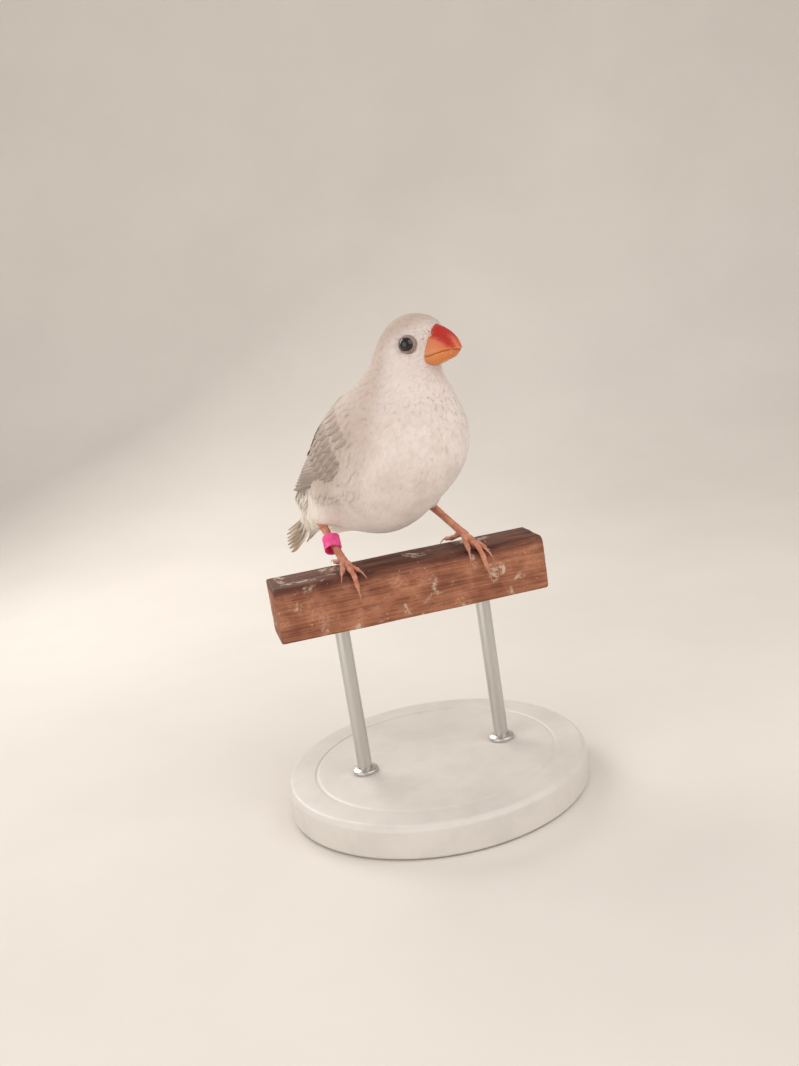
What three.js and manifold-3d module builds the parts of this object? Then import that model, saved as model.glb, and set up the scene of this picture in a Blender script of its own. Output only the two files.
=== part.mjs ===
// A white zebra finch at life size, perched on a short cut of wooden rail, on a plain display stand.
// Millimetres, +Z up. The origin is the middle of the underside of the stand's base.
// The rail runs along X, and +Y is behind the rail. The bird looks to +X and -Y.
import * as THREE from 'three';
import { mergeVertices } from 'three/addons/utils/BufferGeometryUtils.js';
import Module from 'manifold-3d';

const wasm = await Module();
wasm.setup();

// Stand and rail
const BASE_RADIUS = 42;
const BASE_HEIGHT = 9;
const BASE_BEVEL = 1.2;
const ROD_RADIUS = 2;
const ROD_LENGTH = 42;
const ROD_SPREAD = 20;
const PERCH_LENGTH = 74;
const PERCH_HEIGHT = 15;
const PERCH_DEPTH = 16;
const FRONT_ROUND = 2;
const BACK_ROUND = 1;
const GAP = 0.3;

// Bird: how it is turned, and the egg shapes whose smooth union is its body
const BODY_HEADING = 60;
const HEAD_YAW = 12;
const PERCH_TOP = BASE_HEIGHT + ROD_LENGTH + 2 * GAP + PERCH_HEIGHT;
const HEAD_CENTRE = [14.2, 2.2, 55.1];
const EGGS = [
  { centre: [-0.9, 0, 26.8], radii: [21.8, 16.6, 16.9], pitch: 50, yaw: 0, blend: 0 },
  { centre: [9.4, 0, 33.0], radii: [14.8, 15.4, 14.8], pitch: 60, yaw: 0, blend: 8 },
  { centre: [-18.6, 0, 19.6], radii: [15.6, 11.0, 10.6], pitch: 45, yaw: 0, blend: 8 },
  { centre: [-8.0, 0, 31.4], radii: [22.0, 16.0, 10.8], pitch: 43, yaw: 0, blend: 4 },
  { centre: [11.1, 1.1, 48.8], radii: [8.5, 8.5, 9.3], pitch: 80, yaw: 0, blend: 8 },
  { centre: HEAD_CENTRE, radii: [9.6, 8.0, 8.5], pitch: -8, yaw: HEAD_YAW, blend: 5 },
];
const TAIL_EGG = { centre: [-30, 0, 13], radii: [17, 6.5, 3.2], pitch: 30, yaw: 0, blend: 6 };

// Head
const EYE_PLACE = [2.2, 7.6, 1.35];
const EYE_RADIUS = 2.2;
const EYE_SUNK = 0.95;
const LID_RADIUS = 1.95;
const LID_TUBE = 0.5;
const LID_DEPTH = 2.2;
const LID_SUNK = 0.35;
const BILL = {
  back: 3.6,
  tip: 13.2,
  lowTip: 12.7,
  culmen: [[3.6, 6.4], [7.4, 5.4], [9.4, 4.2], [11.0, 3.0], [12.3, 1.1], [13.2, -1.4]],
  gonys: [[3.6, -5.4], [6.6, -5.0], [9.1, -4.1], [11.2, -3.2], [12.6, -2.0]],
  gape: -2.3,
  mouthTip: -1.5,
  halfWidth: 3.9,
};
const NOSTRIL_PLACE = [6.9, 2.9, 3.0];
const NOSTRIL_RADIUS = 0.6;

// Legs: hub of the toes and heel of each leg, from the middle of the rail's top
const LEGS = {
  right: {
    hub: [-16.6, -0.8, 2.5],
    heel: [-19.3, 10.4, 12.0],
    knee: [-13.4, 5.0, 20.0],
    toes: [[3.8, 9.9], [1.7, 14.6], [-2.8, 9.6]],
    hallux: [-1.6, 11.5],
  },
  left: {
    hub: [17.2, -0.6, 3.2],
    heel: [11.9, 10.7, 10.8],
    knee: [9.0, 1.5, 19.5],
    toes: [[-1.8, 11.0], [3.8, 17.2], [4.7, 11.6]],
    hallux: [-4.0, 12.0],
  },
};
const TARSUS_RADIUS = 1.05;
const TOE_RADIUS = 0.85;
const TOE_END_RADIUS = 0.6;
const CLAW_LENGTH = 3.6;
const RING_OUTER = 2.45;
const RING_INNER = 1.95;
const RING_HEIGHT = 4.2;
const RING_UP = 6.6;
const RING_TILT = 14;

const rad = THREE.MathUtils.degToRad;
const lerp = THREE.MathUtils.lerp;
const smooth = THREE.MathUtils.smoothstep;
const vec = (a) => new THREE.Vector3(a[0], a[1], a[2]);

// Smooth union of the eggs, as a signed distance that is negative inside
function prepareEgg(egg) {
  const turn = new THREE.Euler(0, -rad(egg.pitch), rad(egg.yaw), 'ZYX');
  const inverse = new THREE.Matrix4().makeRotationFromEuler(turn).invert();
  return { ...egg, inverse };
}

function eggDistance(egg, p) {
  const q = new THREE.Vector3(p.x - egg.centre[0], p.y - egg.centre[1], p.z - egg.centre[2]);
  q.applyMatrix4(egg.inverse);
  const [a, b, c] = egg.radii;
  const near = Math.hypot(q.x / a, q.y / b, q.z / c);
  const slope = Math.hypot(q.x / (a * a), q.y / (b * b), q.z / (c * c));
  return (near * (near - 1)) / Math.max(slope, 1e-9);
}

function softMin(a, b, k) {
  const h = THREE.MathUtils.clamp(0.5 + (0.5 * (b - a)) / k, 0, 1);
  return lerp(b, a, h) - k * h * (1 - h);
}

const eggs = EGGS.map(prepareEgg);
const tailEgg = prepareEgg(TAIL_EGG);

// The feathers of the face stop at a curved front, where the bill starts
function toHead(p) {
  const q = new THREE.Vector3(p.x - HEAD_CENTRE[0], p.y - HEAD_CENTRE[1], p.z - HEAD_CENTRE[2]);
  return q.applyAxisAngle(new THREE.Vector3(0, 0, 1), -rad(HEAD_YAW));
}

function fromHead(a) {
  const q = vec(a).applyAxisAngle(new THREE.Vector3(0, 0, 1), rad(HEAD_YAW));
  return q.add(vec(HEAD_CENTRE));
}

function bodyDistance(p) {
  let d = eggDistance(eggs[0], p);
  for (const egg of eggs.slice(1)) {
    d = softMin(d, eggDistance(egg, p), egg.blend);
  }
  const q = toHead(p);
  const front = q.x - (6.4 + 0.2 * q.z - 0.07 * q.y * q.y);
  const nearBill = smooth(q.z, -9, -5.5);
  return lerp(d, -softMin(-d, -front * 0.8, 1.6), nearBill);
}

function guideDistance(p) {
  return softMin(bodyDistance(p), eggDistance(tailEgg, p), TAIL_EGG.blend);
}

// Length of the ray from an inner point to the surface that lies "iso" outside the distance field
function reach(distance, origin, way, iso, limit) {
  const at = (r) => distance(origin.clone().addScaledVector(way, r)) - iso;
  let near = 0;
  let far = limit;
  for (let r = 0.5; r <= limit; r += 0.5) {
    if (at(r) > 0) {
      far = r;
      break;
    }
    near = r;
  }
  for (let i = 0; i < 16; i += 1) {
    const mid = (near + far) / 2;
    if (at(mid) > 0) far = mid;
    else near = mid;
  }
  return (near + far) / 2;
}

// Closed bodies from grids of points
function geometryOf(points, faces) {
  const geometry = new THREE.BufferGeometry();
  const flat = points.flatMap((p) => [p.x, p.y, p.z]);
  geometry.setAttribute('position', new THREE.Float32BufferAttribute(flat, 3));
  geometry.setIndex(faces.flat());
  return geometry;
}

function loft(rings, startPoint, endPoint) {
  const sides = rings[0].length;
  const points = rings.flat();
  const faces = [];
  for (let i = 0; i + 1 < rings.length; i += 1) {
    for (let j = 0; j < sides; j += 1) {
      const k = (j + 1) % sides;
      const a = i * sides + j;
      const b = i * sides + k;
      faces.push([a, b, b + sides], [a, b + sides, a + sides]);
    }
  }
  const first = points.length;
  points.push(startPoint, endPoint);
  const last = (rings.length - 1) * sides;
  for (let j = 0; j < sides; j += 1) {
    const k = (j + 1) % sides;
    faces.push([first, k, j], [first + 1, last + j, last + k]);
  }
  return geometryOf(points, faces);
}

function middleOf(ring) {
  const sum = new THREE.Vector3();
  for (const p of ring) sum.add(p);
  return sum.divideScalar(ring.length);
}

function starBody(distance, centre, axis, rows, sides, iso, limit) {
  const origin = vec(centre);
  const pole = vec(axis).normalize();
  const across = new THREE.Vector3(0, 1, 0).cross(pole).normalize();
  const third = new THREE.Vector3().crossVectors(pole, across);
  const point = (tilt, turn) => {
    const way = new THREE.Vector3();
    way.addScaledVector(pole, -Math.cos(tilt));
    way.addScaledVector(across, Math.sin(tilt) * Math.cos(turn));
    way.addScaledVector(third, Math.sin(tilt) * Math.sin(turn));
    return origin.clone().addScaledVector(way, reach(distance, origin, way, iso, limit));
  };
  const rings = [];
  for (let i = 1; i < rows; i += 1) {
    const ring = [];
    for (let j = 0; j < sides; j += 1) ring.push(point((Math.PI * i) / rows, (2 * Math.PI * j) / sides));
    rings.push(ring);
  }
  return loft(rings, point(0, 0), point(Math.PI, 0));
}

function tube(path, radiusAt, steps, sides, upHint) {
  const rings = [];
  for (let i = 0; i <= steps; i += 1) {
    const t = i / steps;
    const way = path.getTangentAt(t);
    const side = new THREE.Vector3().crossVectors(upHint, way).normalize();
    const up = new THREE.Vector3().crossVectors(way, side);
    const centre = path.getPointAt(t);
    const r = radiusAt(t);
    const ring = [];
    for (let j = 0; j < sides; j += 1) {
      const a = (2 * Math.PI * j) / sides;
      ring.push(centre.clone().addScaledVector(side, r * Math.cos(a)).addScaledVector(up, r * Math.sin(a)));
    }
    rings.push(ring);
  }
  return loft(rings, middleOf(rings[0]), middleOf(rings[steps]));
}

// Solids: joining and cutting
function solid(geometry) {
  const bare = geometry.clone();
  bare.deleteAttribute('normal');
  bare.deleteAttribute('uv');
  const merged = mergeVertices(bare, 1e-4);
  const vertProperties = new Float32Array(merged.attributes.position.array);
  const triVerts = new Uint32Array(merged.index.array);
  return new wasm.Manifold(new wasm.Mesh({ numProp: 3, vertProperties, triVerts }));
}

function outward(geometry) {
  const s = solid(geometry);
  if (s.volume() > 0) return s;
  const index = geometry.index.array;
  for (let i = 0; i < index.length; i += 3) {
    const keep = index[i + 1];
    index[i + 1] = index[i + 2];
    index[i + 2] = keep;
  }
  return solid(geometry);
}

function largest(s) {
  const pieces = s.decompose();
  return pieces.reduce((best, piece) => (piece.volume() > best.volume() ? piece : best));
}

function geometryFromSolid(s) {
  const mesh = s.getMesh();
  const geometry = new THREE.BufferGeometry();
  const flat = [];
  for (let i = 0; i < mesh.vertProperties.length; i += mesh.numProp) {
    flat.push(mesh.vertProperties[i], mesh.vertProperties[i + 1], mesh.vertProperties[i + 2]);
  }
  geometry.setAttribute('position', new THREE.Float32BufferAttribute(flat, 3));
  geometry.setIndex(Array.from(mesh.triVerts));
  return geometry;
}

// Places: the bird's own frame (x ahead, y to its left, z up) and the rail's frame, in the whole model
const birdMatrix = new THREE.Matrix4().makeRotationZ(-rad(BODY_HEADING)).setPosition(0, 0, PERCH_TOP);
const railMatrix = new THREE.Matrix4().setPosition(0, 0, PERCH_TOP);
const railPoint = (a) => vec(a).applyMatrix4(railMatrix);
const birdSolid = (geometry) => outward(geometry.clone().applyMatrix4(birdMatrix));

// A half space of the bird's frame, as a big box behind a plane
const CUT_SIZE = 120;
function beyond(point, normal) {
  const box = new THREE.BoxGeometry(CUT_SIZE, CUT_SIZE, CUT_SIZE);
  box.translate(0, 0, CUT_SIZE / 2);
  const up = new THREE.Vector3(0, 0, 1);
  box.applyQuaternion(new THREE.Quaternion().setFromUnitVectors(up, vec(normal).normalize()));
  box.translate(point[0], point[1], point[2]);
  return birdSolid(box);
}

// Body of flesh and small feathers, parted at the neck by thin cuts
const HEAD_CUT = { point: [12.0, 1.6, 50.2], normal: [0.35, 0, 1] };
const NECK_CUT = { point: [7.0, 0.8, 42.6], normal: [0.45, 0, 1] };
const shifted = (cut, by) => {
  const n = vec(cut.normal).normalize();
  return vec(cut.point).addScaledVector(n, by).toArray();
};
const flip = (cut) => cut.normal.map((v) => -v);

const headWhole = birdSolid(starBody(bodyDistance, HEAD_CENTRE, [0, 0, 1], 20, 28, 0, 14));
const headGrown = birdSolid(starBody(bodyDistance, HEAD_CENTRE, [0, 0, 1], 20, 28, GAP, 14));
const neckWhole = birdSolid(starBody(bodyDistance, [9.5, 1, 46], [0.3, 0, 1], 20, 26, 0, 18));
const torsoWhole = birdSolid(starBody(bodyDistance, [-1, 0, 29], [0.7, 0, 0.75], 22, 28, 0, 40));
const torsoGrown = birdSolid(starBody(bodyDistance, [-1, 0, 29], [0.7, 0, 0.75], 22, 28, GAP, 40));

// Sheets that lie on the body: points at a place along the back's axis and round it
const AXIS_TAIL = new THREE.Vector3(-34, 0, 5);
const AXIS_NECK = new THREE.Vector3(9, 0, 44);
const axisWay = AXIS_NECK.clone().sub(AXIS_TAIL).normalize();
const axisUp = new THREE.Vector3(0, -1, 0).cross(axisWay).normalize();
function onBody(along, round, side, iso) {
  const origin = AXIS_TAIL.clone().lerp(AXIS_NECK, along);
  const a = rad(round);
  const way = axisUp.clone().multiplyScalar(Math.cos(a));
  way.y += side * Math.sin(a);
  return origin.addScaledVector(way, reach(guideDistance, origin, way, iso, 40));
}

// A sheet between two heights over the body, split into triangles alike on both faces
function sheet(place, bottom, top, rows, columns) {
  const lower = [];
  const upper = [];
  for (let i = 0; i <= rows; i += 1) {
    for (let j = 0; j <= columns; j += 1) {
      const u = i / rows;
      const v = j / columns;
      lower.push(place(u, v, bottom(u, v)));
      upper.push(place(u, v, top(u, v)));
    }
  }
  const count = lower.length;
  const wide = columns + 1;
  const faces = [];
  for (let i = 0; i < rows; i += 1) {
    for (let j = 0; j < columns; j += 1) {
      const a = i * wide + j;
      faces.push([a, a + wide, a + wide + 1], [a, a + wide + 1, a + 1]);
      const b = count + a;
      faces.push([b, b + wide + 1, b + wide], [b, b + 1, b + wide + 1]);
    }
  }
  const rim = [];
  for (let j = 0; j < columns; j += 1) rim.push(j);
  for (let i = 0; i < rows; i += 1) rim.push(i * wide + columns);
  for (let j = columns; j > 0; j -= 1) rim.push(rows * wide + j);
  for (let i = rows; i > 0; i -= 1) rim.push(i * wide);
  for (let k = 0; k < rim.length; k += 1) {
    const a = rim[k];
    const b = rim[(k + 1) % rim.length];
    faces.push([a, b, b + count], [a, b + count, a + count]);
  }
  return geometryOf([...lower, ...upper], faces);
}

// Folded wing. Places on it are given along the back (0 at the tail, 1 at the neck) and round it in degrees
// from the top. Its core reaches from the bend at the breast back to where the long feathers part.
const WING = { tip: 0.14, back: 0.38, bend: 0.93, floor: -3.5, lift: 5.0 };
const VANE_THICK = 0.5;
const DEGREES_PER_MM = 4.1;
const LENGTH_PER_MM = 0.0172;
const lifted = (along, height) => height + WING.lift * (1 - smooth(along, 0.14, 0.6));
const swell = (v) => Math.sqrt(Math.max(0, 4 * v * (1 - v)));
function wingEdges(along) {
  const close = Math.sqrt(Math.max(0, 1 - Math.max(0, (along - 0.68) / (WING.bend - 0.68)) ** 2));
  const top = lerp(18, 32, smooth(along, 0.3, 0.95));
  const low = lerp(50, 116, smooth(along, 0.22, 0.7));
  const middle = lerp(top, low, 0.45);
  return { top: lerp(middle, top, close), low: lerp(middle, low, close) };
}

function wingPlace(side, back, grow, spare) {
  const front = WING.bend + grow * LENGTH_PER_MM;
  return (u, v, iso) => {
    const along = lerp(back - grow * LENGTH_PER_MM, front, u);
    const edges = wingEdges(Math.min(WING.bend - 0.004, along));
    const wide = grow * DEGREES_PER_MM + spare * (1 - smooth(along, 0.4, 0.6));
    return onBody(along, lerp(edges.top - wide, edges.low + wide, v), side, iso);
  };
}

function wingCore(side) {
  const at = (u) => lerp(WING.back, WING.bend, u);
  const roof = (u) => lifted(at(u), lerp(-2.6, -0.35, smooth(at(u), 0.62, 0.85)));
  const low = (u) => lifted(at(u), WING.floor) + 0.4 * smooth(u, 0.6, 1);
  const bottom = (u, v) => lerp(roof(u) - 0.6, low(u), swell(v));
  const top = (u, v) => lerp(roof(u) - 0.25, roof(u), swell(v));
  return birdSolid(sheet(wingPlace(side, WING.back, 0, 0), bottom, top, 9, 6));
}

// The hollow of the body that a wing lies in, "grow" wider than the wing
const HOLLOW_TOP = 9;
const HOLLOW_SPARE = 22;
const HOLLOW_GAP = 0.37;
function wingHollow(side, grow) {
  const at = (u) => lerp(WING.tip, WING.bend, u);
  const core = (u) => smooth(at(u), WING.back - 0.05, WING.back + 0.04);
  const low = (u, v) => lifted(at(u), lerp(-2.3, WING.floor, core(u) * swell(v) ** 0.5)) - grow;
  return birdSolid(sheet(wingPlace(side, WING.tip, 0.4 + grow, HOLLOW_SPARE), low, () => HOLLOW_TOP, 11, 6));
}

// One flat feather over the body: its root lies deep, its tip is free and rounded
function vane(side, spec) {
  const along = (u) => lerp(spec.root[0], spec.tip[0], u);
  const place = (u, v, iso) => {
    const taper = lerp(0.7, 1, smooth(u, 0, 0.4)) * Math.sqrt(1 - Math.max(0, (u - 0.72) / 0.29) ** 2);
    const half = (spec.wide / 2) * DEGREES_PER_MM * taper;
    const middle = lerp(spec.root[1], spec.tip[1], u) + spec.bow * 4 * u * (1 - u);
    return onBody(along(u), middle + lerp(-half, half, v), side, iso);
  };
  const bottom = (u, v) => {
    const sunk = (1 - smooth(u, 0, spec.free)) * spec.sunk;
    return lifted(along(u), spec.height) + spec.tilt * (2 * v - 1) - sunk;
  };
  const top = (u, v) => bottom(u, v) + VANE_THICK * lerp(1.1, 0.8, u);
  return birdSolid(sheet(place, bottom, top, spec.rows, 1));
}

// A seeded draw, so that like feathers differ a little and every run gives the same ones
let seed = 11;
function vary(amount) {
  seed = (seed * 16807) % 2147483647;
  return amount * (2 * (seed / 2147483647) - 1);
}

// Long feathers of the wing: six of the hand, five of the arm and three next to the back
const FLIGHT = { height: -1.9, tilt: 0.35, sunk: 0.8, free: 0.35, rows: 5 };
function wingFeathers(side) {
  const vanes = [];
  for (let i = 0; i < 6; i += 1) {
    const t = i / 5;
    const root = [0.62, lerp(110, 92, t)];
    const tip = [lerp(0.235, 0.37, t ** 0.8) + vary(0.004), lerp(51, 45, t)];
    vanes.push(vane(side, { ...FLIGHT, root, tip, wide: lerp(2.2, 2.7, t), bow: 1 }));
  }
  for (let i = 0; i < 5; i += 1) {
    const t = i / 4;
    const root = [0.64, lerp(87, 56, t)];
    const tip = [lerp(0.385, 0.42, t) + vary(0.004), lerp(54, 33, t)];
    vanes.push(vane(side, { ...FLIGHT, root, tip, wide: 3, bow: 3 }));
  }
  for (let i = 0; i < 3; i += 1) {
    const root = [0.66, 48 - 7 * i];
    const tip = [0.4 + 0.045 * i, 31 - 3 * i];
    const height = FLIGHT.height + 0.6 * (i + 1);
    vanes.push(vane(side, { ...FLIGHT, root, tip, height, tilt: 0.15, sunk: 1.4, wide: 3.4, bow: 2 }));
  }
  return vanes;
}

// A row of coverts side by side over the roots of the longer feathers
const COVERT = { tilt: 0, sunk: 0.9, free: 0.5, bow: 0, rows: 4 };
const COVERT_GAP = 0.42;
function covertRow(side, count, rootAt, tipAt, from, to, height) {
  const vanes = [];
  const step = (to - from) / count;
  const wide = step / DEGREES_PER_MM - COVERT_GAP;
  for (let i = 0; i < count; i += 1) {
    const round = from + step * (i + 0.5);
    const tip = [tipAt + vary(0.006), round - 5 + vary(0.6)];
    vanes.push(vane(side, { ...COVERT, root: [rootAt, round], tip, wide, height: height + vary(0.04) }));
  }
  return vanes;
}

function wingSolid(side) {
  const pieces = [wingCore(side), ...wingFeathers(side)];
  pieces.push(...covertRow(side, 7, 0.69, 0.53, 47, 113, -0.75));
  pieces.push(...covertRow(side, 6, 0.79, 0.65, 46, 103, -0.3));
  return wasm.Manifold.union(pieces).intersect(wingHollow(side, 0));
}

// Tail: a short core in the rump, ten long feathers in a folded fan and short coverts over their roots
const TAIL = { root: [-18, 0, 19.5], tip: [-47.4, 0, 4.4], spread: 6.6, drop: 0.045, core: [7.5, 4.4, 2.6] };
const tailRoot = vec(TAIL.root);
const tailWay = vec(TAIL.tip).sub(tailRoot).normalize();
const tailSide = new THREE.Vector3(0, 1, 0);
const tailUp = new THREE.Vector3().crossVectors(tailSide, tailWay).normalize();
const tailLength = tailRoot.distanceTo(vec(TAIL.tip));

function tailPlace(ahead, across, height) {
  const p = tailRoot.clone().addScaledVector(tailWay, ahead);
  return p.addScaledVector(tailSide, across).addScaledVector(tailUp, height - TAIL.drop * across * across);
}

function tailVane(spec) {
  const place = (u, v, height) => {
    const taper = lerp(0.6, 1, smooth(u, 0, 0.6)) * Math.sqrt(1 - Math.max(0, (u - 0.8) / 0.22) ** 2);
    const across = lerp(spec.sides[0], spec.sides[1], u) + (v - 0.5) * spec.wide * taper;
    return tailPlace(lerp(spec.from, spec.to, u), across, height);
  };
  const tilt = (v) => spec.tilt * (2 * v - 1);
  const bottom = (u, v) => lerp(spec.heights[0], spec.heights[1], smooth(u, 0, 0.45)) + tilt(v);
  const top = (u, v) => bottom(u, v) + VANE_THICK * lerp(1.2, 0.8, u);
  return birdSolid(sheet(place, bottom, top, spec.rows, 1));
}

function tailFeathers(side) {
  const vanes = [];
  for (let i = 0; i < 5; i += 1) {
    const sides = [side * (0.5 + 0.6 * i), side * lerp(0.95, TAIL.spread, i / 4)];
    const to = tailLength - 0.3 * i - 0.125 * i * i + vary(0.2);
    const middleHeight = side > 0 ? 1.1 : 0.55;
    const heights = [-0.3, i === 0 ? middleHeight : 0];
    const tilt = i === 0 ? 0.05 : 0.62 * side;
    vanes.push(tailVane({ from: 2, to, sides, wide: 2.5, heights, tilt, rows: 6 }));
  }
  for (let i = 0; i < 3; i += 1) {
    const over = { from: 1, to: 15 - 2.2 * i + vary(0.5), sides: [side * (1 + i), side * (1 + 1.7 * i)] };
    vanes.push(tailVane({ ...over, wide: 1.9, heights: [0.6, 2.3 - 0.3 * i], tilt: 0, rows: 4 }));
    const under = { from: 1, to: 17 - 2.4 * i + vary(0.5), sides: [side * (1 + i), side * (1 + 1.8 * i)] };
    vanes.push(tailVane({ ...under, wide: 2.1, heights: [-1.2, -2.1], tilt: 0, rows: 4 }));
  }
  return vanes;
}

function tailSolid() {
  const core = new THREE.SphereGeometry(1, 12, 8).scale(...TAIL.core);
  core.applyQuaternion(new THREE.Quaternion().setFromUnitVectors(new THREE.Vector3(-1, 0, 0), tailWay));
  const at = tailPlace(4.5, 0, 0);
  const pieces = [birdSolid(core.translate(at.x, at.y, at.z))];
  for (const side of [-1, 1]) pieces.push(...tailFeathers(side));
  return wasm.Manifold.union(pieces);
}

function tailHollow() {
  const half = (u) => lerp(5.1, 8.5, u);
  const place = (u, v, height) => tailPlace(lerp(-3.6, tailLength + 1, u), lerp(-1, 1, v) * half(u), height);
  const high = (u, v) => lerp(3.3, 3.5, u) * (1 - 0.3 * (2 * v - 1) ** 2);
  return birdSolid(sheet(place, (u, v) => -high(u, v), high, 8, 6));
}

// Eyes, with a ring of lid on the head
function eyeGeometry(side, radius) {
  const geometry = new THREE.SphereGeometry(radius, 14, 9);
  const at = fromHead([EYE_PLACE[0], side * (EYE_PLACE[1] - EYE_SUNK), EYE_PLACE[2]]);
  return geometry.translate(at.x, at.y, at.z);
}

function lidGeometry(side) {
  const geometry = new THREE.TorusGeometry(LID_RADIUS, LID_TUBE, 6, 18).scale(1, 1, LID_DEPTH);
  const facing = new THREE.Vector3(0.16, side, 0.1).normalize();
  const turn = new THREE.Quaternion().setFromUnitVectors(new THREE.Vector3(0, 0, 1), facing);
  geometry.applyQuaternion(turn);
  geometry.rotateZ(rad(HEAD_YAW));
  const at = fromHead([EYE_PLACE[0], side * (EYE_PLACE[1] - LID_SUNK), EYE_PLACE[2]]);
  return geometry.translate(at.x, at.y, at.z);
}

// Bill: two lofts that meet along the line of the mouth
function along(table, x) {
  const last = table.length - 1;
  if (x >= table[last][0]) return table[last][1];
  const curve = new THREE.SplineCurve(table.map((p) => new THREE.Vector2(p[0], p[1])));
  let low = 0;
  let high = 1;
  for (let i = 0; i < 24; i += 1) {
    const mid = (low + high) / 2;
    if (curve.getPoint(mid).x < x) low = mid;
    else high = mid;
  }
  return curve.getPoint(low).y;
}

const mouthHeight = (x) => lerp(BILL.gape, BILL.mouthTip, smooth(x, 5, BILL.tip));
function billHalfWidth(x, tip) {
  const t = THREE.MathUtils.clamp((x - BILL.back) / (tip - BILL.back), 0, 1);
  return BILL.halfWidth * (1.06 - 0.3 * t) * Math.sqrt(Math.max(0, 1 - t ** 2.2)) + 0.12;
}

function billGeometry(outline, tip, direction, roundness) {
  const rings = [];
  const steps = 12;
  for (let i = 0; i <= steps; i += 1) {
    const t = i / steps;
    const x = lerp(BILL.back, tip - 0.1, 1 - (1 - t) ** 1.4);
    const mouth = mouthHeight(x) + (direction * GAP) / 2;
    const edge = along(outline, x);
    const half = billHalfWidth(x, tip + 0.1);
    const ring = [];
    for (let j = 0; j <= 12; j += 1) {
      const a = (Math.PI * j) / 12;
      const rise = Math.sin(a) ** roundness;
      ring.push(fromHead([x, half * Math.cos(a), lerp(mouth, edge, rise)]));
    }
    for (let j = 1; j < 4; j += 1) ring.push(fromHead([x, half * lerp(-1, 1, j / 4), mouth]));
    rings.push(ring);
  }
  return loft(rings, middleOf(rings[0]), fromHead([tip, 0, mouthHeight(tip) + direction * GAP * 0.6]));
}

function nostrils() {
  const pits = [];
  for (const side of [-1, 1]) {
    const pit = new THREE.SphereGeometry(NOSTRIL_RADIUS, 10, 8);
    const at = fromHead([NOSTRIL_PLACE[0], side * NOSTRIL_PLACE[1], NOSTRIL_PLACE[2]]);
    pits.push(birdSolid(pit.scale(1.1, 1, 0.8).translate(at.x, at.y, at.z)));
  }
  return wasm.Manifold.union(pits);
}

// Toes: a path that leaves the hub, lies on the rail's top, rounds its edge and hangs down its face
const CLAW_BULGE = 0.35;
const CLAW_DRIFT = 0.65;
const CLAW_GAP = 0.45;
const TOE_LIFT = TOE_RADIUS + GAP + 0.06;
function toePath(leg, ahead, sideways, length) {
  const round = ahead ? FRONT_ROUND : BACK_ROUND;
  const bend = round + TOE_LIFT;
  const turnY = PERCH_DEPTH / 2 - round;
  const [hubX, hubY, hubZ] = leg.hub;
  const startY = ahead ? -hubY : hubY;
  const flat = turnY - startY;
  const arc = bend * (Math.PI / 2);
  const points = [];
  const steps = 20;
  for (let i = 0; i <= steps; i += 1) {
    const u = (length * i) / steps;
    const angle = THREE.MathUtils.clamp((u - flat) / bend, 0, Math.PI / 2);
    const y = u < flat ? startY + u : turnY + bend * Math.sin(angle);
    const z = bend * Math.cos(angle) - round - Math.max(0, u - flat - arc);
    const rise = (hubZ - TOE_LIFT) * (1 - smooth(u, 0, flat));
    points.push(railPoint([hubX + sideways * (u / length), ahead ? -y : y, z + rise]));
  }
  return new THREE.CatmullRomCurve3(points);
}

function toeParts(leg, ahead, sideways, length) {
  const steps = 30;
  const points = toePath(leg, ahead, sideways, length).getSpacedPoints(steps);
  const cut = Math.round(steps * (1 - CLAW_LENGTH / length));
  const across = new THREE.Vector3(ahead ? 1 : -1, 0, 0);
  const radius = (t) => lerp(TOE_RADIUS, TOE_END_RADIUS, t) * (1 + 0.06 * Math.cos(t * Math.PI * 6));
  const line = new THREE.CatmullRomCurve3(points.slice(0, cut + 1));
  const toe = tube(line, radius, 8, 7, across);
  const room = tube(line, (t) => radius(t) + GAP, 8, 7, across);
  const way = points[cut + 1].clone().sub(points[cut - 1]).normalize();
  const outside = new THREE.Vector3().crossVectors(way, across).normalize();
  const clawPoints = [];
  for (let i = 0; i <= 6; i += 1) {
    const t = i / 6;
    const offset = CLAW_BULGE * Math.sin(Math.PI * t) - CLAW_DRIFT * t * t;
    const from = points[cut].clone().addScaledVector(way, CLAW_GAP + CLAW_LENGTH * t);
    clawPoints.push(from.addScaledVector(outside, offset));
  }
  const clawRadius = (t) => lerp(TOE_END_RADIUS * 0.86, 0.14, t ** 0.8);
  const claw = tube(new THREE.CatmullRomCurve3(clawPoints), clawRadius, 5, 6, across);
  return { toe: outward(toe), room: outward(room), claw: outward(claw) };
}

// Leg: a bare shank from the hub of the toes to the heel, and a feathered thigh from there into the body
const ACROSS = new THREE.Vector3(1, 0, 0);
const HUB_RADIUS = 1.3;
const HEEL_RADIUS = 1.4;
const THIGH_LOW = 1.9;
const THIGH_TOP = 5.2;
function ball(at, radius, wide, high) {
  return outward(new THREE.SphereGeometry(radius, wide, high).translate(at.x, at.y, at.z));
}

function shank(leg, grow) {
  const hub = railPoint(leg.hub);
  const heel = railPoint(leg.heel);
  const radius = (t) => TARSUS_RADIUS * (1 + 0.25 * (2 * t - 1) ** 4) + grow;
  const bar = outward(tube(new THREE.LineCurve3(hub, heel), radius, 6, 10, ACROSS));
  return bar.add(ball(heel, HEEL_RADIUS + grow, 10, 8));
}

function thighOf(leg) {
  const heel = railPoint(leg.heel);
  const knee = railPoint(leg.knee);
  const start = heel.clone().lerp(knee, 0.12);
  const radius = (t) => lerp(THIGH_LOW, THIGH_TOP, Math.sqrt(t));
  return outward(tube(new THREE.LineCurve3(start, knee), radius, 8, 16, ACROSS));
}

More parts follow.
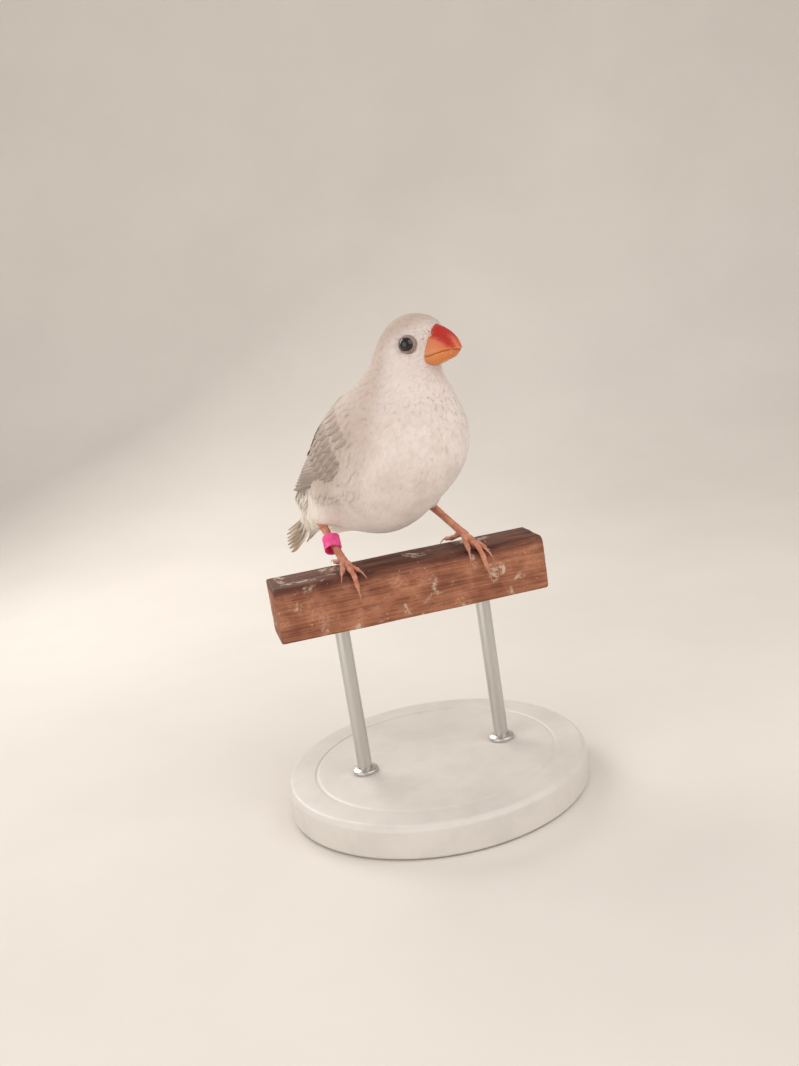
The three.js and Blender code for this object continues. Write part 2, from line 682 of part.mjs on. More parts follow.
// Leg ring: a loose plastic band that hangs against the shank
const RING_EDGE = 0.2;
function legRing(leg) {
  const hub = railPoint(leg.hub);
  const way = railPoint(leg.heel).sub(hub).normalize();
  const middle = hub.clone().addScaledVector(way, RING_UP);
  const aside = ACROSS.clone().addScaledVector(way, -ACROSS.dot(way)).normalize();
  const axis = way.multiplyScalar(Math.cos(rad(RING_TILT))).addScaledVector(aside, Math.sin(rad(RING_TILT)));
  const outline = [
    [RING_INNER, 0],
    [RING_OUTER - RING_EDGE, 0],
    [RING_OUTER, RING_EDGE],
    [RING_OUTER, RING_HEIGHT - RING_EDGE],
    [RING_OUTER - RING_EDGE, RING_HEIGHT],
    [RING_INNER, RING_HEIGHT],
    [RING_INNER, 0],
  ];
  const geometry = new THREE.LatheGeometry(outline.map((p) => new THREE.Vector2(p[0], p[1])), 20);
  geometry.translate(0, -RING_HEIGHT / 2, 0);
  geometry.applyQuaternion(new THREE.Quaternion().setFromUnitVectors(new THREE.Vector3(0, 1, 0), axis));
  return outward(geometry.translate(middle.x, middle.y, middle.z));
}

// Rail: a worn square bar, rounded most along its front top edge
const LOW_ROUND = 1.2;
function perchSolid() {
  const half = PERCH_DEPTH / 2;
  const outline = new THREE.Shape();
  outline.moveTo(-half + LOW_ROUND, 0);
  outline.lineTo(half - LOW_ROUND, 0);
  outline.absarc(half - LOW_ROUND, LOW_ROUND, LOW_ROUND, -Math.PI / 2, 0);
  outline.absarc(half - BACK_ROUND, PERCH_HEIGHT - BACK_ROUND, BACK_ROUND, 0, Math.PI / 2);
  outline.absarc(-half + FRONT_ROUND, PERCH_HEIGHT - FRONT_ROUND, FRONT_ROUND, Math.PI / 2, Math.PI);
  outline.absarc(-half + LOW_ROUND, LOW_ROUND, LOW_ROUND, Math.PI, Math.PI * 1.5);
  const options = { depth: PERCH_LENGTH, bevelEnabled: false, curveSegments: 6 };
  const geometry = new THREE.ExtrudeGeometry(outline, options);
  geometry.translate(0, 0, -PERCH_LENGTH / 2);
  geometry.rotateX(Math.PI / 2);
  geometry.rotateZ(Math.PI / 2);
  return outward(geometry.translate(0, 0, PERCH_TOP - PERCH_HEIGHT));
}

// Stand: a turned disc and two upright rods
function baseSolid() {
  const outline = [
    [0, 0],
    [BASE_RADIUS, 0],
    [BASE_RADIUS, BASE_HEIGHT - BASE_BEVEL],
    [BASE_RADIUS - BASE_BEVEL, BASE_HEIGHT],
    [0, BASE_HEIGHT],
  ];
  const geometry = new THREE.LatheGeometry(outline.map((p) => new THREE.Vector2(p[0], p[1])), 36);
  return outward(geometry.rotateX(Math.PI / 2));
}

function rodSolid(x) {
  const geometry = new THREE.CylinderGeometry(ROD_RADIUS, ROD_RADIUS, ROD_LENGTH, 16);
  geometry.rotateX(Math.PI / 2);
  return outward(geometry.translate(x, 0, BASE_HEIGHT + GAP + ROD_LENGTH / 2));
}

// Colours
const WHITE = 0xe8ded4;
const GREY_WASH = 0xcfc2b5;
const CREAM = 0xe6d8c2;
const ORANGE = 0xd9803f;
const RED = 0xc23a20;
const DARK_EYE = 0x1c1310;
const SKIN = 0xc98468;
const HORN = 0xb98a78;
const PINK = 0xe0507e;
const WOOD = 0x9a5f47;
const STAND = 0xe9e7e3;

const scene = new THREE.Group();
function add(name, s, colour, roughness) {
  const material = new THREE.MeshStandardMaterial({ color: colour, roughness, metalness: 0 });
  const mesh = new THREE.Mesh(geometryFromSolid(largest(s)), material);
  mesh.name = name;
  scene.add(mesh);
}

// Flesh and small feathers
const tailRoom = tailHollow();
const wingRoom = wasm.Manifold.union(wingHollow(1, HOLLOW_GAP), wingHollow(-1, HOLLOW_GAP));
const aboveNeck = beyond(shifted(NECK_CUT, -GAP / 2), NECK_CUT.normal);
const underNeck = beyond(shifted(NECK_CUT, GAP / 2), flip(NECK_CUT));
const aboveHead = beyond(shifted(HEAD_CUT, -GAP / 2), HEAD_CUT.normal);
const underHead = beyond(shifted(HEAD_CUT, GAP / 2), flip(HEAD_CUT));
add('torso', torsoWhole.subtract(aboveNeck).subtract(wingRoom).subtract(tailRoom), WHITE, 0.9);
add('neck', neckWhole.subtract(underNeck).subtract(aboveHead).subtract(wingRoom), WHITE, 0.9);
add('tail', tailSolid(), CREAM, 0.85);

let head = headWhole.subtract(underHead);
for (const side of [1, -1]) head = head.add(birdSolid(lidGeometry(side)));
for (const side of [1, -1]) head = head.subtract(birdSolid(eyeGeometry(side, EYE_RADIUS + GAP)));
add('head', head, WHITE, 0.9);
add('eye_left', birdSolid(eyeGeometry(1, EYE_RADIUS)), DARK_EYE, 0.15);
add('eye_right', birdSolid(eyeGeometry(-1, EYE_RADIUS)), DARK_EYE, 0.15);

const upper = birdSolid(billGeometry(BILL.culmen, BILL.tip, 1, 0.85)).subtract(headGrown);
const lower = birdSolid(billGeometry(BILL.gonys, BILL.lowTip, -1, 0.75)).subtract(headGrown);
add('bill_upper', upper.subtract(nostrils()), RED, 0.4);
add('bill_lower', lower, ORANGE, 0.4);

for (const [name, side] of [['left', 1], ['right', -1]]) {
  add(`wing_${name}`, wingSolid(side).subtract(tailRoom), GREY_WASH, 0.85);
}

// Legs, feet and claws
for (const [name, leg] of Object.entries(LEGS)) {
  const hub = railPoint(leg.hub);
  let foot = ball(hub, HUB_RADIUS, 12, 8);
  let footRoom = ball(hub, HUB_RADIUS + GAP, 12, 8);
  const toes = leg.toes.map(([sideways, length]) => toeParts(leg, true, sideways, length));
  toes.push(toeParts(leg, false, leg.hallux[0], leg.hallux[1]));
  for (const part of toes) {
    foot = foot.add(part.toe);
    footRoom = footRoom.add(part.room);
  }
  const thigh = thighOf(leg).subtract(torsoGrown).subtract(shank(leg, GAP)).subtract(tailRoom);
  add(`thigh_${name}`, thigh, WHITE, 0.9);
  add(`leg_${name}`, shank(leg, 0).subtract(torsoGrown).subtract(footRoom), SKIN, 0.6);
  add(`foot_${name}`, foot, SKIN, 0.6);
  toes.forEach((part, i) => add(`claw_${name}_${i + 1}`, part.claw, HORN, 0.45));
}
add('leg_ring', legRing(LEGS.right), PINK, 0.4);

add('perch', perchSolid(), WOOD, 0.75);
add('stand_base', baseSolid(), STAND, 0.5);
add('stand_rod_left', rodSolid(-ROD_SPREAD), STAND, 0.35);
add('stand_rod_right', rodSolid(ROD_SPREAD), STAND, 0.35);

export default scene;
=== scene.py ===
"""A white zebra finch at life size, perched on a short cut of wooden rail, on a plain display stand."""

import math

import bpy
import numpy as np
from mathutils import Matrix, Vector, noise


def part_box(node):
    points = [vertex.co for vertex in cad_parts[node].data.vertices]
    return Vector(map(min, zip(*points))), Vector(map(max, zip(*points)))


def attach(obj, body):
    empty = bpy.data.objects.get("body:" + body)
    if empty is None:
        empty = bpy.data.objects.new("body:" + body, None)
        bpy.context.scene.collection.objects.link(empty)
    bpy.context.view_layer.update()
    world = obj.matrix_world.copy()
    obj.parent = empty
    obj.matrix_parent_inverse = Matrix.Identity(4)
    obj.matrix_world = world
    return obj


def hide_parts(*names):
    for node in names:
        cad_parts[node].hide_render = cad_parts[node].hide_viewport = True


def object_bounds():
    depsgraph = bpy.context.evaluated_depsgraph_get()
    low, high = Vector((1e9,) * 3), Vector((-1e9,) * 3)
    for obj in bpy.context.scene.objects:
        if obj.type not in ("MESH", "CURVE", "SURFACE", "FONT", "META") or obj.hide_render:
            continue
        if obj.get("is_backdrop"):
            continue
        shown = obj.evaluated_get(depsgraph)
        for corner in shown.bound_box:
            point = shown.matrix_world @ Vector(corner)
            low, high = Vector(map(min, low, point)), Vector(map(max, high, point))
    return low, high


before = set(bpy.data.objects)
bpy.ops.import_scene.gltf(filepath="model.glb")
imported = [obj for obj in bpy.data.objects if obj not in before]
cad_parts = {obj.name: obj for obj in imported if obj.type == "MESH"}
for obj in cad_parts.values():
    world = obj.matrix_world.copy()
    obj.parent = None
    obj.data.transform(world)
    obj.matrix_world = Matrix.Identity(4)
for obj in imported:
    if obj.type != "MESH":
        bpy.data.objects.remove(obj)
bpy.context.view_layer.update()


# Stand: a turned disc lacquered off-white, and two satin steel rods in collars that run up to the rail.
# Lengths in the whole script are millimetres until a mesh is made.
MM = 0.001
BASE_RADIUS, BASE_HEIGHT, BASE_BEVEL, FOOT_BEVEL = 42.0, 9.0, 1.2, 0.6
GROOVE_OUTER, GROOVE_LOWEST, GROOVE_INNER, GROOVE_DEPTH = 34.0, 33.6, 33.0, 0.35
ROD_RADIUS, ROD_SPREAD = 2.0, 20.0
COLLAR_RADIUS, COLLAR_SIDE, COLLAR_HEIGHT, COLLAR_LIP = 3.6, 1.0, 1.5, 0.4
NEAR_AXIS, HAIR = 0.01, 0.05
RAIL_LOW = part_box("perch")[0][2] / MM
RAIL_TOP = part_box("perch")[1][2] / MM


def seen(red, green, blue):
    """A colour as the eye reads it, 0 to 255, as the linear colour that a shader takes."""
    parts = np.array([red, green, blue]) / 255
    linear = np.where(parts <= 0.04045, parts / 12.92, ((parts + 0.055) / 1.055) ** 2.4)
    return (*linear.tolist(), 1.0)


class Value:
    """A node's output. Sums on it add Math nodes."""

    def __init__(self, finish, socket):
        self.finish = finish
        self.socket = socket

    def maths(self, operation, *terms):
        return self.finish.node("Math", {"operation": operation}, dict(enumerate(terms)))

    def __add__(self, other):
        return self.maths("ADD", self, other)

    def __sub__(self, other):
        return self.maths("SUBTRACT", self, other)

    def __rsub__(self, other):
        return self.maths("SUBTRACT", other, self)

    def __mul__(self, other):
        return self.maths("MULTIPLY", self, other)

    def __abs__(self):
        return self.maths("ABSOLUTE", self)

    __radd__ = __add__
    __rmul__ = __mul__

    def sine(self):
        return self.maths("SINE", self)

    def ease(self, low, high):
        """0 under low, 1 over high, smooth between."""
        settings = {"interpolation_type": "SMOOTHSTEP"}
        return self.finish.node("MapRange", settings, {"Value": self, "From Min": low, "From Max": high})


class Finish:
    """A material: constants on its Principled shader, and nodes for what varies over the surface."""

    def __init__(self, name, constants):
        self.material = bpy.data.materials.new(name)
        self.material.use_nodes = True
        self.tree = self.material.node_tree
        self.shader = self.tree.nodes["Principled BSDF"]
        for socket, value in constants.items():
            self.shader.inputs[socket].default_value = value

    def node(self, kind, settings=None, inputs=None, output=0):
        """Adds a node: its settings first, then a value or a link for each of its sockets."""
        made = self.tree.nodes.new("ShaderNode" + kind)
        for key, value in (settings or {}).items():
            setattr(made, key, value)
        for key, value in (inputs or {}).items():
            self.feed(made.inputs[key], value)
        return Value(self, made.outputs[output])

    def feed(self, socket, value):
        if isinstance(value, Value):
            self.tree.links.new(value.socket, socket)
        else:
            socket.default_value = value

    def set(self, socket, value):
        self.feed(self.shader.inputs[socket], value)

    def place(self):
        """Where a point is on the piece, in millimetres."""
        at = self.node("TexCoord", output=3)
        return self.node("VectorMath", {"operation": "SCALE"}, {0: at, "Scale": 1 / MM})

    def along(self, place, way):
        """How far a place lies in a direction."""
        return self.node("VectorMath", {"operation": "DOT_PRODUCT"}, {0: place, 1: way}, output=1)

    def stretch(self, place, scale):
        """A place whose three parts are scaled, for marks that are drawn out one way."""
        return self.node("VectorMath", {"operation": "MULTIPLY"}, {0: place, 1: scale})

    def attribute(self, name):
        """A number that the mesh keeps for each of its points."""
        return self.node("Attribute", {"attribute_name": name}, output=2)

    def cloud(self, place, scale, detail=3.0, rough=0.5, warp=0.0):
        """Noise from 0 to 1, with its scale in patches to the millimetre."""
        inputs = {"Vector": place, "Scale": scale, "Detail": detail, "Roughness": rough, "Distortion": warp}
        return self.node("TexNoise", {}, inputs)

    def blend(self, one, other, share):
        """A colour between two."""
        return self.node("Mix", {"data_type": "RGBA"}, {0: share, 6: one, 7: other}, output=2)

    def shade(self, colour, amount):
        """A colour made lighter or darker."""
        return self.node("HueSaturation", {}, {"Color": colour, "Value": amount})

    def relief(self, height, depth, strength=1.0):
        """Fine relief, its depth in millimetres."""
        inputs = {"Height": height, "Distance": depth * MM, "Strength": strength}
        self.set("Normal", self.node("Bump", {}, inputs))


def piece(name, points, faces, finish, slot, replaces=(), maps=None, shading=None):
    """A mesh piece that rides on the one body. Faces come as arrays of corner numbers, a row a face.

    maps holds UV places for each point, and shading a smooth outward way for each point.
    """
    faces = [np.asarray(f, np.int64) for f in faces if len(f)]
    corners = np.concatenate([f.ravel() for f in faces])
    sizes = np.concatenate([np.full(len(f), f.shape[1]) for f in faces])
    mesh = bpy.data.meshes.new(name)
    mesh.vertices.add(len(points))
    mesh.vertices.foreach_set("co", (np.asarray(points) * MM).astype(np.float32).ravel())
    mesh.loops.add(len(corners))
    mesh.loops.foreach_set("vertex_index", corners.astype(np.int32))
    mesh.polygons.add(len(sizes))
    mesh.polygons.foreach_set("loop_start", (np.cumsum(sizes) - sizes).astype(np.int32))
    mesh.update(calc_edges=True)
    mesh.polygons.foreach_set("use_smooth", np.ones(len(sizes), bool))
    for title, places in (maps or {}).items():
        layer = mesh.uv_layers.new(name=title)
        layer.uv.foreach_set("vector", places[corners].astype(np.float32).ravel())
    if shading is not None:
        outward = np.empty(3 * len(sizes), np.float32)
        mesh.polygons.foreach_get("normal", outward)
        outward = np.repeat(outward.reshape(-1, 3), sizes, axis=0)
        normals = shading[corners]
        normals = np.where((normals * outward).sum(axis=1, keepdims=True) < 0, -normals, normals)
        mesh.normals_split_custom_set(normals.tolist())
    made = bpy.data.objects.new(name, mesh)
    bpy.context.scene.collection.objects.link(made)
    mesh.materials.append(finish.material)
    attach(made, "root")
    if replaces:
        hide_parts(*replaces)
    return made


def loft(rings):
    """Points and faces of a closed body through rings of points, each end closed by a fan."""
    rings = np.asarray(rings, float)
    count, sides = rings.shape[:2]
    points = np.concatenate([rings.reshape(-1, 3), [rings[0].mean(axis=0), rings[-1].mean(axis=0)]])
    i, j = np.meshgrid(np.arange(count - 1), np.arange(sides), indexing="ij")
    a, b = (i * sides + j).ravel(), (i * sides + (j + 1) % sides).ravel()
    j = np.arange(sides)
    k = (j + 1) % sides
    first, last = count * sides, (count - 1) * sides
    ends = np.concatenate([
        np.stack([np.full(sides, first), k, j], axis=1),
        np.stack([np.full(sides, first + 1), last + j, last + k], axis=1),
    ])
    return points, [np.stack([a, b, b + sides, a + sides], axis=1), ends]


def turned(outline, sides):
    """A body turned about the upright axis, from (radius, height) pairs."""
    angles = np.arange(sides) * 2 * math.pi / sides
    rings = [[(r * math.cos(a), r * math.sin(a), z) for a in angles] for r, z in outline]
    return loft(rings)


def rounded(outline, radius, steps=6):
    """An outline whose corners are rounded, all but its two ends."""
    soft = [outline[0]]
    for before, corner, after in zip(outline, outline[1:], outline[2:]):
        a, c, b = (np.array(p, float) for p in (before, corner, after))
        into, out = (a - c) / np.linalg.norm(a - c), (b - c) / np.linalg.norm(b - c)
        reach = min(radius, 0.45 * np.linalg.norm(a - c), 0.45 * np.linalg.norm(b - c))
        start, end = c + into * reach, c + out * reach
        for t in np.linspace(0, 1, steps):
            soft.append(tuple((1 - t) ** 2 * start + 2 * t * (1 - t) * c + t * t * end))
    soft.append(outline[-1])
    return soft


lacquer = Finish("satin_lacquer", {"Roughness": 0.42, "Coat Weight": 0.15, "Coat Roughness": 0.3})
spot = lacquer.place()
orange_peel = lacquer.cloud(spot, 1.3, 2.0)
dust = lacquer.cloud(spot, 0.09, 4.0, 0.65)
lacquer.set("Base Color", lacquer.blend(seen(216, 211, 204), seen(208, 203, 196), dust.ease(0.35, 0.7)))
lacquer.set("Roughness", 0.40 + 0.08 * dust)
lacquer.relief(orange_peel, 0.05, 0.35)

disc = [(NEAR_AXIS, 0), (BASE_RADIUS - FOOT_BEVEL, 0), (BASE_RADIUS, FOOT_BEVEL),
        (BASE_RADIUS, BASE_HEIGHT - BASE_BEVEL), (BASE_RADIUS - BASE_BEVEL, BASE_HEIGHT),
        (GROOVE_OUTER, BASE_HEIGHT), (GROOVE_LOWEST, BASE_HEIGHT - GROOVE_DEPTH),
        (GROOVE_INNER, BASE_HEIGHT), (NEAR_AXIS, BASE_HEIGHT)]
points, faces = turned(rounded(disc, radius=0.5), sides=160)
piece("stand_disc", points, faces, lacquer, "stand_white", ["stand_base"])

steel = Finish("satin_steel", {"Metallic": 1.0, "Roughness": 0.3})
spot = steel.place()
scratches = steel.cloud(steel.stretch(spot, (6.0, 6.0, 0.25)), 1.0, 4.0, 0.6)
steel.set("Base Color", steel.blend(seen(190, 188, 184), seen(214, 212, 208), scratches))
steel.set("Roughness", 0.22 + 0.22 * scratches)
steel.relief(scratches, 0.02, 0.4)
for name, side in (("left", -1), ("right", 1)):
    middle = np.array([side * ROD_SPREAD, 0, 0])
    foot, top = BASE_HEIGHT + HAIR, RAIL_LOW - 0.3
    rod = [(NEAR_AXIS, foot), (ROD_RADIUS, foot), (ROD_RADIUS, top), (NEAR_AXIS, top)]
    points, faces = turned(rounded(rod, radius=0.25), sides=40)
    piece("rod_" + name, points + middle, faces, steel, "stand_metal", ["stand_rod_" + name])
    collar = [(ROD_RADIUS + HAIR, BASE_HEIGHT), (COLLAR_RADIUS, BASE_HEIGHT),
              (COLLAR_RADIUS, BASE_HEIGHT + COLLAR_SIDE),
              (ROD_RADIUS + COLLAR_LIP, BASE_HEIGHT + COLLAR_HEIGHT),
              (ROD_RADIUS + HAIR, BASE_HEIGHT + COLLAR_HEIGHT)]
    points, faces = turned(rounded(collar, radius=0.3), sides=48)
    piece("collar_" + name, points + middle, faces[:1], steel, "stand_metal")


# Rail: a short cut of an old square bar of reddish brown wood, planed once, now worn round along its
# front top edge, with a long crack down its front, dirt and painted shade on top, and specks of lime. Its
# ends are sawn square.
RAIL_LENGTH, RAIL_HEIGHT, RAIL_DEPTH = 74.0, 15.0, 16.0
RAIL_ROUNDS = {"front_top": 2.0, "back_top": 1.0, "back_low": 1.2, "front_low": 1.2}


def run_along(line):
    """How far each point of a line is from its start."""
    return np.concatenate([[0], np.cumsum(np.linalg.norm(np.diff(line, axis=0), axis=1))])


def rail_outline(across):
    """The bar's section as that many points (y, z), evenly spread, front top corner first."""
    corners = []
    for name, y, z, start in (("front_top", -1, 1, 90), ("front_low", -1, -1, 180),
                              ("back_low", 1, -1, 270), ("back_top", 1, 1, 0)):
        r = RAIL_ROUNDS[name]
        middle = np.array([y * (RAIL_DEPTH / 2 - r), z * (RAIL_HEIGHT / 2 - r)])
        for angle in np.radians(np.linspace(start, start + 90, 9)):
            corners.append(middle + r * np.array([math.cos(angle), math.sin(angle)]))
    loop = np.array(corners + corners[:1])
    run = run_along(loop)
    spots = np.linspace(0, run[-1], across, endpoint=False)
    return np.stack([np.interp(spots, run, loop[:, k]) for k in (0, 1)], axis=1)


section = rail_outline(across=150)
outward = section / np.linalg.norm(section, axis=1)[:, None]
rings = []
for x in np.linspace(-RAIL_LENGTH / 2, RAIL_LENGTH / 2, 260):
    end = max(0.0, abs(x) - (RAIL_LENGTH / 2 - 0.5)) / 0.5
    ring = []
    for (y, z), (oy, oz) in zip(section, outward):
        sag = 0.22 * noise.noise(Vector((x * 0.035, y * 0.25, z * 0.25)))
        grain = 0.10 * noise.noise(Vector((x * 0.10, y * 1.7, z * 1.7)))
        worn = max(0.0, 1 - abs(y + 7.2) / 2.2) * max(0.0, 1 - abs(z - 6.6) / 2.2)
        chip = worn * 0.9 * max(0.0, noise.noise(Vector((x * 0.22, y * 0.4, z * 0.4 + 7))))
        ridge = noise.noise(Vector((x * 0.045, 3.0, 5.0)))
        crack = 0.32 * math.exp(-(((z - 4.3 - 0.9 * ridge) / 0.16) ** 2)) * (y < -7.5) * (ridge > -0.25)
        inward = 0.12 + 0.35 * end * end - sag - grain + chip + crack
        ring.append((x, y - oy * inward, z - oz * inward + (RAIL_LOW + RAIL_TOP) / 2))
    rings.append(ring)
points, faces = loft(rings)

wood = Finish("worn_rail_wood", {"Roughness": 0.7, "Specular IOR Level": 0.35})
spot = wood.place()
up = wood.along(spot, (0, 0, 1.0))
fibre = wood.cloud(wood.stretch(spot, (0.045, 1.5, 1.5)), 1.0, 5.0, 0.6, 0.6)
pores = wood.cloud(wood.stretch(spot, (0.35, 7.0, 7.0)), 1.0, 3.0, 0.7)
patch = wood.cloud(spot, 0.11, 4.0, 0.6)
tone = wood.blend(seen(112, 62, 42), seen(176, 116, 86), (fibre * 0.55 + patch * 0.45).ease(0.34, 0.64))
tone = wood.blend(tone, seen(86, 42, 28), (1 - pores.ease(0.34, 0.46)) * 0.6)
rough = wood.cloud(spot, 1.6, 5.0, 0.75)
tone = wood.blend(tone, seen(196, 150, 122), patch.ease(0.5, 0.72) * rough.ease(0.42, 0.62) * 0.7)
# painted shade and dirt: the top face and the top few millimetres of the sides are painted dark brown, in
# streaks
on_top = up.ease(RAIL_TOP - 3.2, RAIL_TOP - 0.6)
top_dirt_and_shade = wood.cloud(wood.stretch(spot, (0.06, 0.5, 0.5)), 1.0, 4.0, 0.65)
tone = wood.blend(tone, seen(72, 32, 22), on_top * (0.6 + 0.4 * top_dirt_and_shade.ease(0.35, 0.65)))
splash = wood.cloud(spot, 0.13, 3.0, 0.5, 0.6)
specks = wood.cloud(spot, 0.75, 4.0, 0.6)
lime = splash.ease(0.58, 0.66) * specks.ease(0.40, 0.60) * 0.75 + specks.ease(0.68, 0.72) * 0.6
tone = wood.blend(tone, seen(214, 194, 172), lime)
wood.set("Base Color", tone)
wood.set("Roughness", 0.62 + 0.2 * pores - 0.1 * on_top)
wood.relief(fibre * 0.6 + pores * 0.5 + lime * 0.4, 0.25, 0.8)
piece("rail", points, faces, wood, "worn_wood", ["perch"])


# Body: flesh and skin in one closed form from the bill's base to the rump and down to both heels. It is a
# smooth union of eggs and thighs, and the coat and wings are laid on levels of the same distance field.
# Each egg is its middle, its three radii, its pitch, its yaw, and how softly it joins the ones before it.
BODY_HEADING, HEAD_YAW = 60.0, 12.0
HEAD_CENTRE = np.array([14.2, 2.2, 55.1])
EGGS = [
    ((-0.9, 0.0, 26.8), (21.8, 16.6, 16.9), 50, 0, 0),
    ((9.4, 0.0, 33.0), (14.8, 15.4, 14.8), 60, 0, 8),
    ((-18.6, 0.0, 19.6), (15.6, 11.0, 10.6), 45, 0, 8),
    ((-8.0, 0.0, 31.4), (22.0, 16.0, 10.8), 43, 0, 4),
    ((11.1, 1.1, 48.8), (8.5, 8.5, 9.3), 80, 0, 8),
    (tuple(HEAD_CENTRE), (9.6, 8.0, 8.5), -8, HEAD_YAW, 5),
]
TAIL_EGG = ((-30.0, 0.0, 13.0), (17.0, 6.5, 3.2), 30, 0, 6)
RUMP_EGG = ((-24.0, 0.0, 16.0), (9.5, 6.0, 4.0), 30, 0, 6)
LEG_JOINTS = {
    "right": {"hub": (-16.6, -0.8, 2.5), "heel": (-19.3, 10.4, 12.0), "knee": (-13.4, 5.0, 20.0)},
    "left": {"hub": (17.2, -0.6, 3.2), "heel": (11.9, 10.7, 10.8), "knee": (9.0, 1.5, 19.5)},
}
THIGH_LOW, THIGH_TOP, THIGH_START, THIGH_JOIN = 1.9, 5.2, 0.12, 3.5
SKIN_DEPTH, FACE_SKIN_DEPTH, SKIN_GRID = 0.5, 0.35, 0.62
LEFT = np.array([0.0, 1.0, 0.0])


def turn_z(points, degrees):
    """Points turned about the upright axis."""
    a = math.radians(degrees)
    turn = np.array([[math.cos(a), -math.sin(a), 0], [math.sin(a), math.cos(a), 0], [0, 0, 1]])
    return np.asarray(points, float) @ turn.T


def from_rail(points):
    """From the rail's frame (the middle of its top) to the bird's own frame."""
    return turn_z(points, BODY_HEADING)


def to_model(points):
    """From the bird's own frame to the whole model."""
    return turn_z(points, -BODY_HEADING) + np.array([0, 0, RAIL_TOP])


def to_head(points):
    """From the bird's frame to the head's own: x towards the bill's tip, y to its left, z up."""
    return turn_z(points - HEAD_CENTRE, -HEAD_YAW)


def from_head(points):
    return turn_z(points, HEAD_YAW) + HEAD_CENTRE


def ease(x, low, high):
    """0 under low, 1 over high, smooth between; the other way round if low is the higher."""
    t = np.clip((x - low) / (high - low), 0, 1)
    return t * t * (3 - 2 * t)


def mix(a, b, t):
    """From a at 0 to b at 1."""
    return a + (b - a) * t


def unit(v):
    return v / np.maximum(np.linalg.norm(v, axis=-1, keepdims=True), 1e-9)


def egg_turn(egg):
    """The turn of an egg's own axes: its pitch up, then its yaw."""
    p, y = math.radians(egg[2]), math.radians(egg[3])
    pitch = np.array([[math.cos(p), 0, -math.sin(p)], [0, 1, 0], [math.sin(p), 0, math.cos(p)]])
    yaw = np.array([[math.cos(y), -math.sin(y), 0], [math.sin(y), math.cos(y), 0], [0, 0, 1]])
    return yaw @ pitch


def egg_distance(egg, points):
    """About how far points lie outside an egg; negative inside it."""
    q = (points - np.array(egg[0])) @ egg_turn(egg)
    radii = np.array(egg[1])
    near = np.linalg.norm(q / radii, axis=-1)
    slope = np.linalg.norm(q / radii**2, axis=-1)
    return near * (near - 1) / np.maximum(slope, 1e-9)


def soft_min(a, b, k):
    """The lesser of two distances, rounded over where they meet."""
    h = np.clip(0.5 + 0.5 * (b - a) / k, 0, 1)
    return mix(b, a, h) - k * h * (1 - h)


def body_distance(points, rear=TAIL_EGG):
    """How far points lie outside the plumage of the body, head and tail root."""
    d = egg_distance(EGGS[0], points)
    for egg in EGGS[1:]:
        d = soft_min(d, egg_distance(egg, points), egg[4])
    q = to_head(points)
    front = q[..., 0] - (6.4 + 0.2 * q[..., 2] - 0.07 * q[..., 1] ** 2)
    d = mix(d, -soft_min(-d, -front * 0.8, 1.6), ease(q[..., 2], -11.5, -5.0))
    return soft_min(d, egg_distance(rear, points), rear[4])


def thigh_ends(joints):
    """The heel and the knee in the bird's frame."""
    return (from_rail(np.array(joints[k], float)) for k in ("heel", "knee"))


def thigh_distance(points, joints):
    """How far points lie outside a thigh that widens from the heel to the knee."""
    heel, knee = thigh_ends(joints)
    start = mix(heel, knee, THIGH_START)
    way = knee - start
    t = np.clip((points - start) @ way / (way @ way), 0, 1)
    off = points - start - t[..., None] * way
    return np.linalg.norm(off, axis=-1) - mix(THIGH_LOW, THIGH_TOP, np.sqrt(t))


def coat_distance(points, rear=TAIL_EGG):
    """The body's field with both thighs."""
    d = body_distance(points, rear)
    for joints in LEG_JOINTS.values():
        d = soft_min(d, thigh_distance(points, joints), THIGH_JOIN)
    return d


def skin_distance(points):
    """The coat's field over flesh only: it ends at the rump, and the tail goes on."""
    return coat_distance(points, RUMP_EGG)


def slope_of(field, points, step=0.05):
    """The outward way of a field, and its value."""
    at = field(points)
    parts = [field(points + step * np.eye(3)[k]) - at for k in range(3)]
    return np.stack(parts, axis=-1) / step, at


def laid(field, points, level, turns=3):
    """Points moved straight out or in until the field has a given level there."""
    for _ in range(turns):
        slope, at = slope_of(field, points)
        size = np.maximum((slope * slope).sum(axis=-1), 0.04)
        points = points - slope * np.clip((at - level) / size, -3, 3)[..., None]
    return points


def sphere_mesh(wide, high):
    """A ball of radius 1 as rings, for the eyes and for the rough form that the skin is drawn round."""
    tilts = np.linspace(0.04, math.pi - 0.04, high)[:, None]
    turns = np.arange(wide) * 2 * math.pi / wide
    parts = (np.sin(tilts) * np.cos(turns), np.sin(tilts) * np.sin(turns), np.cos(tilts) + 0 * turns)
    return np.stack(parts, axis=2)


def gathered(bodies):
    """Several lofted bodies as one: their points, and their faces by kind."""
    starts = np.cumsum([0] + [len(points) for points, _ in bodies])
    kinds = zip(*([face + start for face in faces] for (_, faces), start in zip(bodies, starts)))
    return np.concatenate([points for points, _ in bodies]), [np.concatenate(kind) for kind in kinds]


def rough_body():
    """The eggs and thighs as overlapping closed bodies in one mesh."""
    ball, faces = loft(sphere_mesh(40, 24))
    shapes = [(ball * np.array(egg[1])) @ egg_turn(egg).T + np.array(egg[0]) for egg in (*EGGS, RUMP_EGG)]
    for joints in LEG_JOINTS.values():
        heel, knee = thigh_ends(joints)
        for t in np.linspace(0.15, 1, 9):
            shapes.append(ball * mix(THIGH_LOW, THIGH_TOP, math.sqrt(t)) + mix(heel, knee, t))
    return gathered([(shape, faces) for shape in shapes])


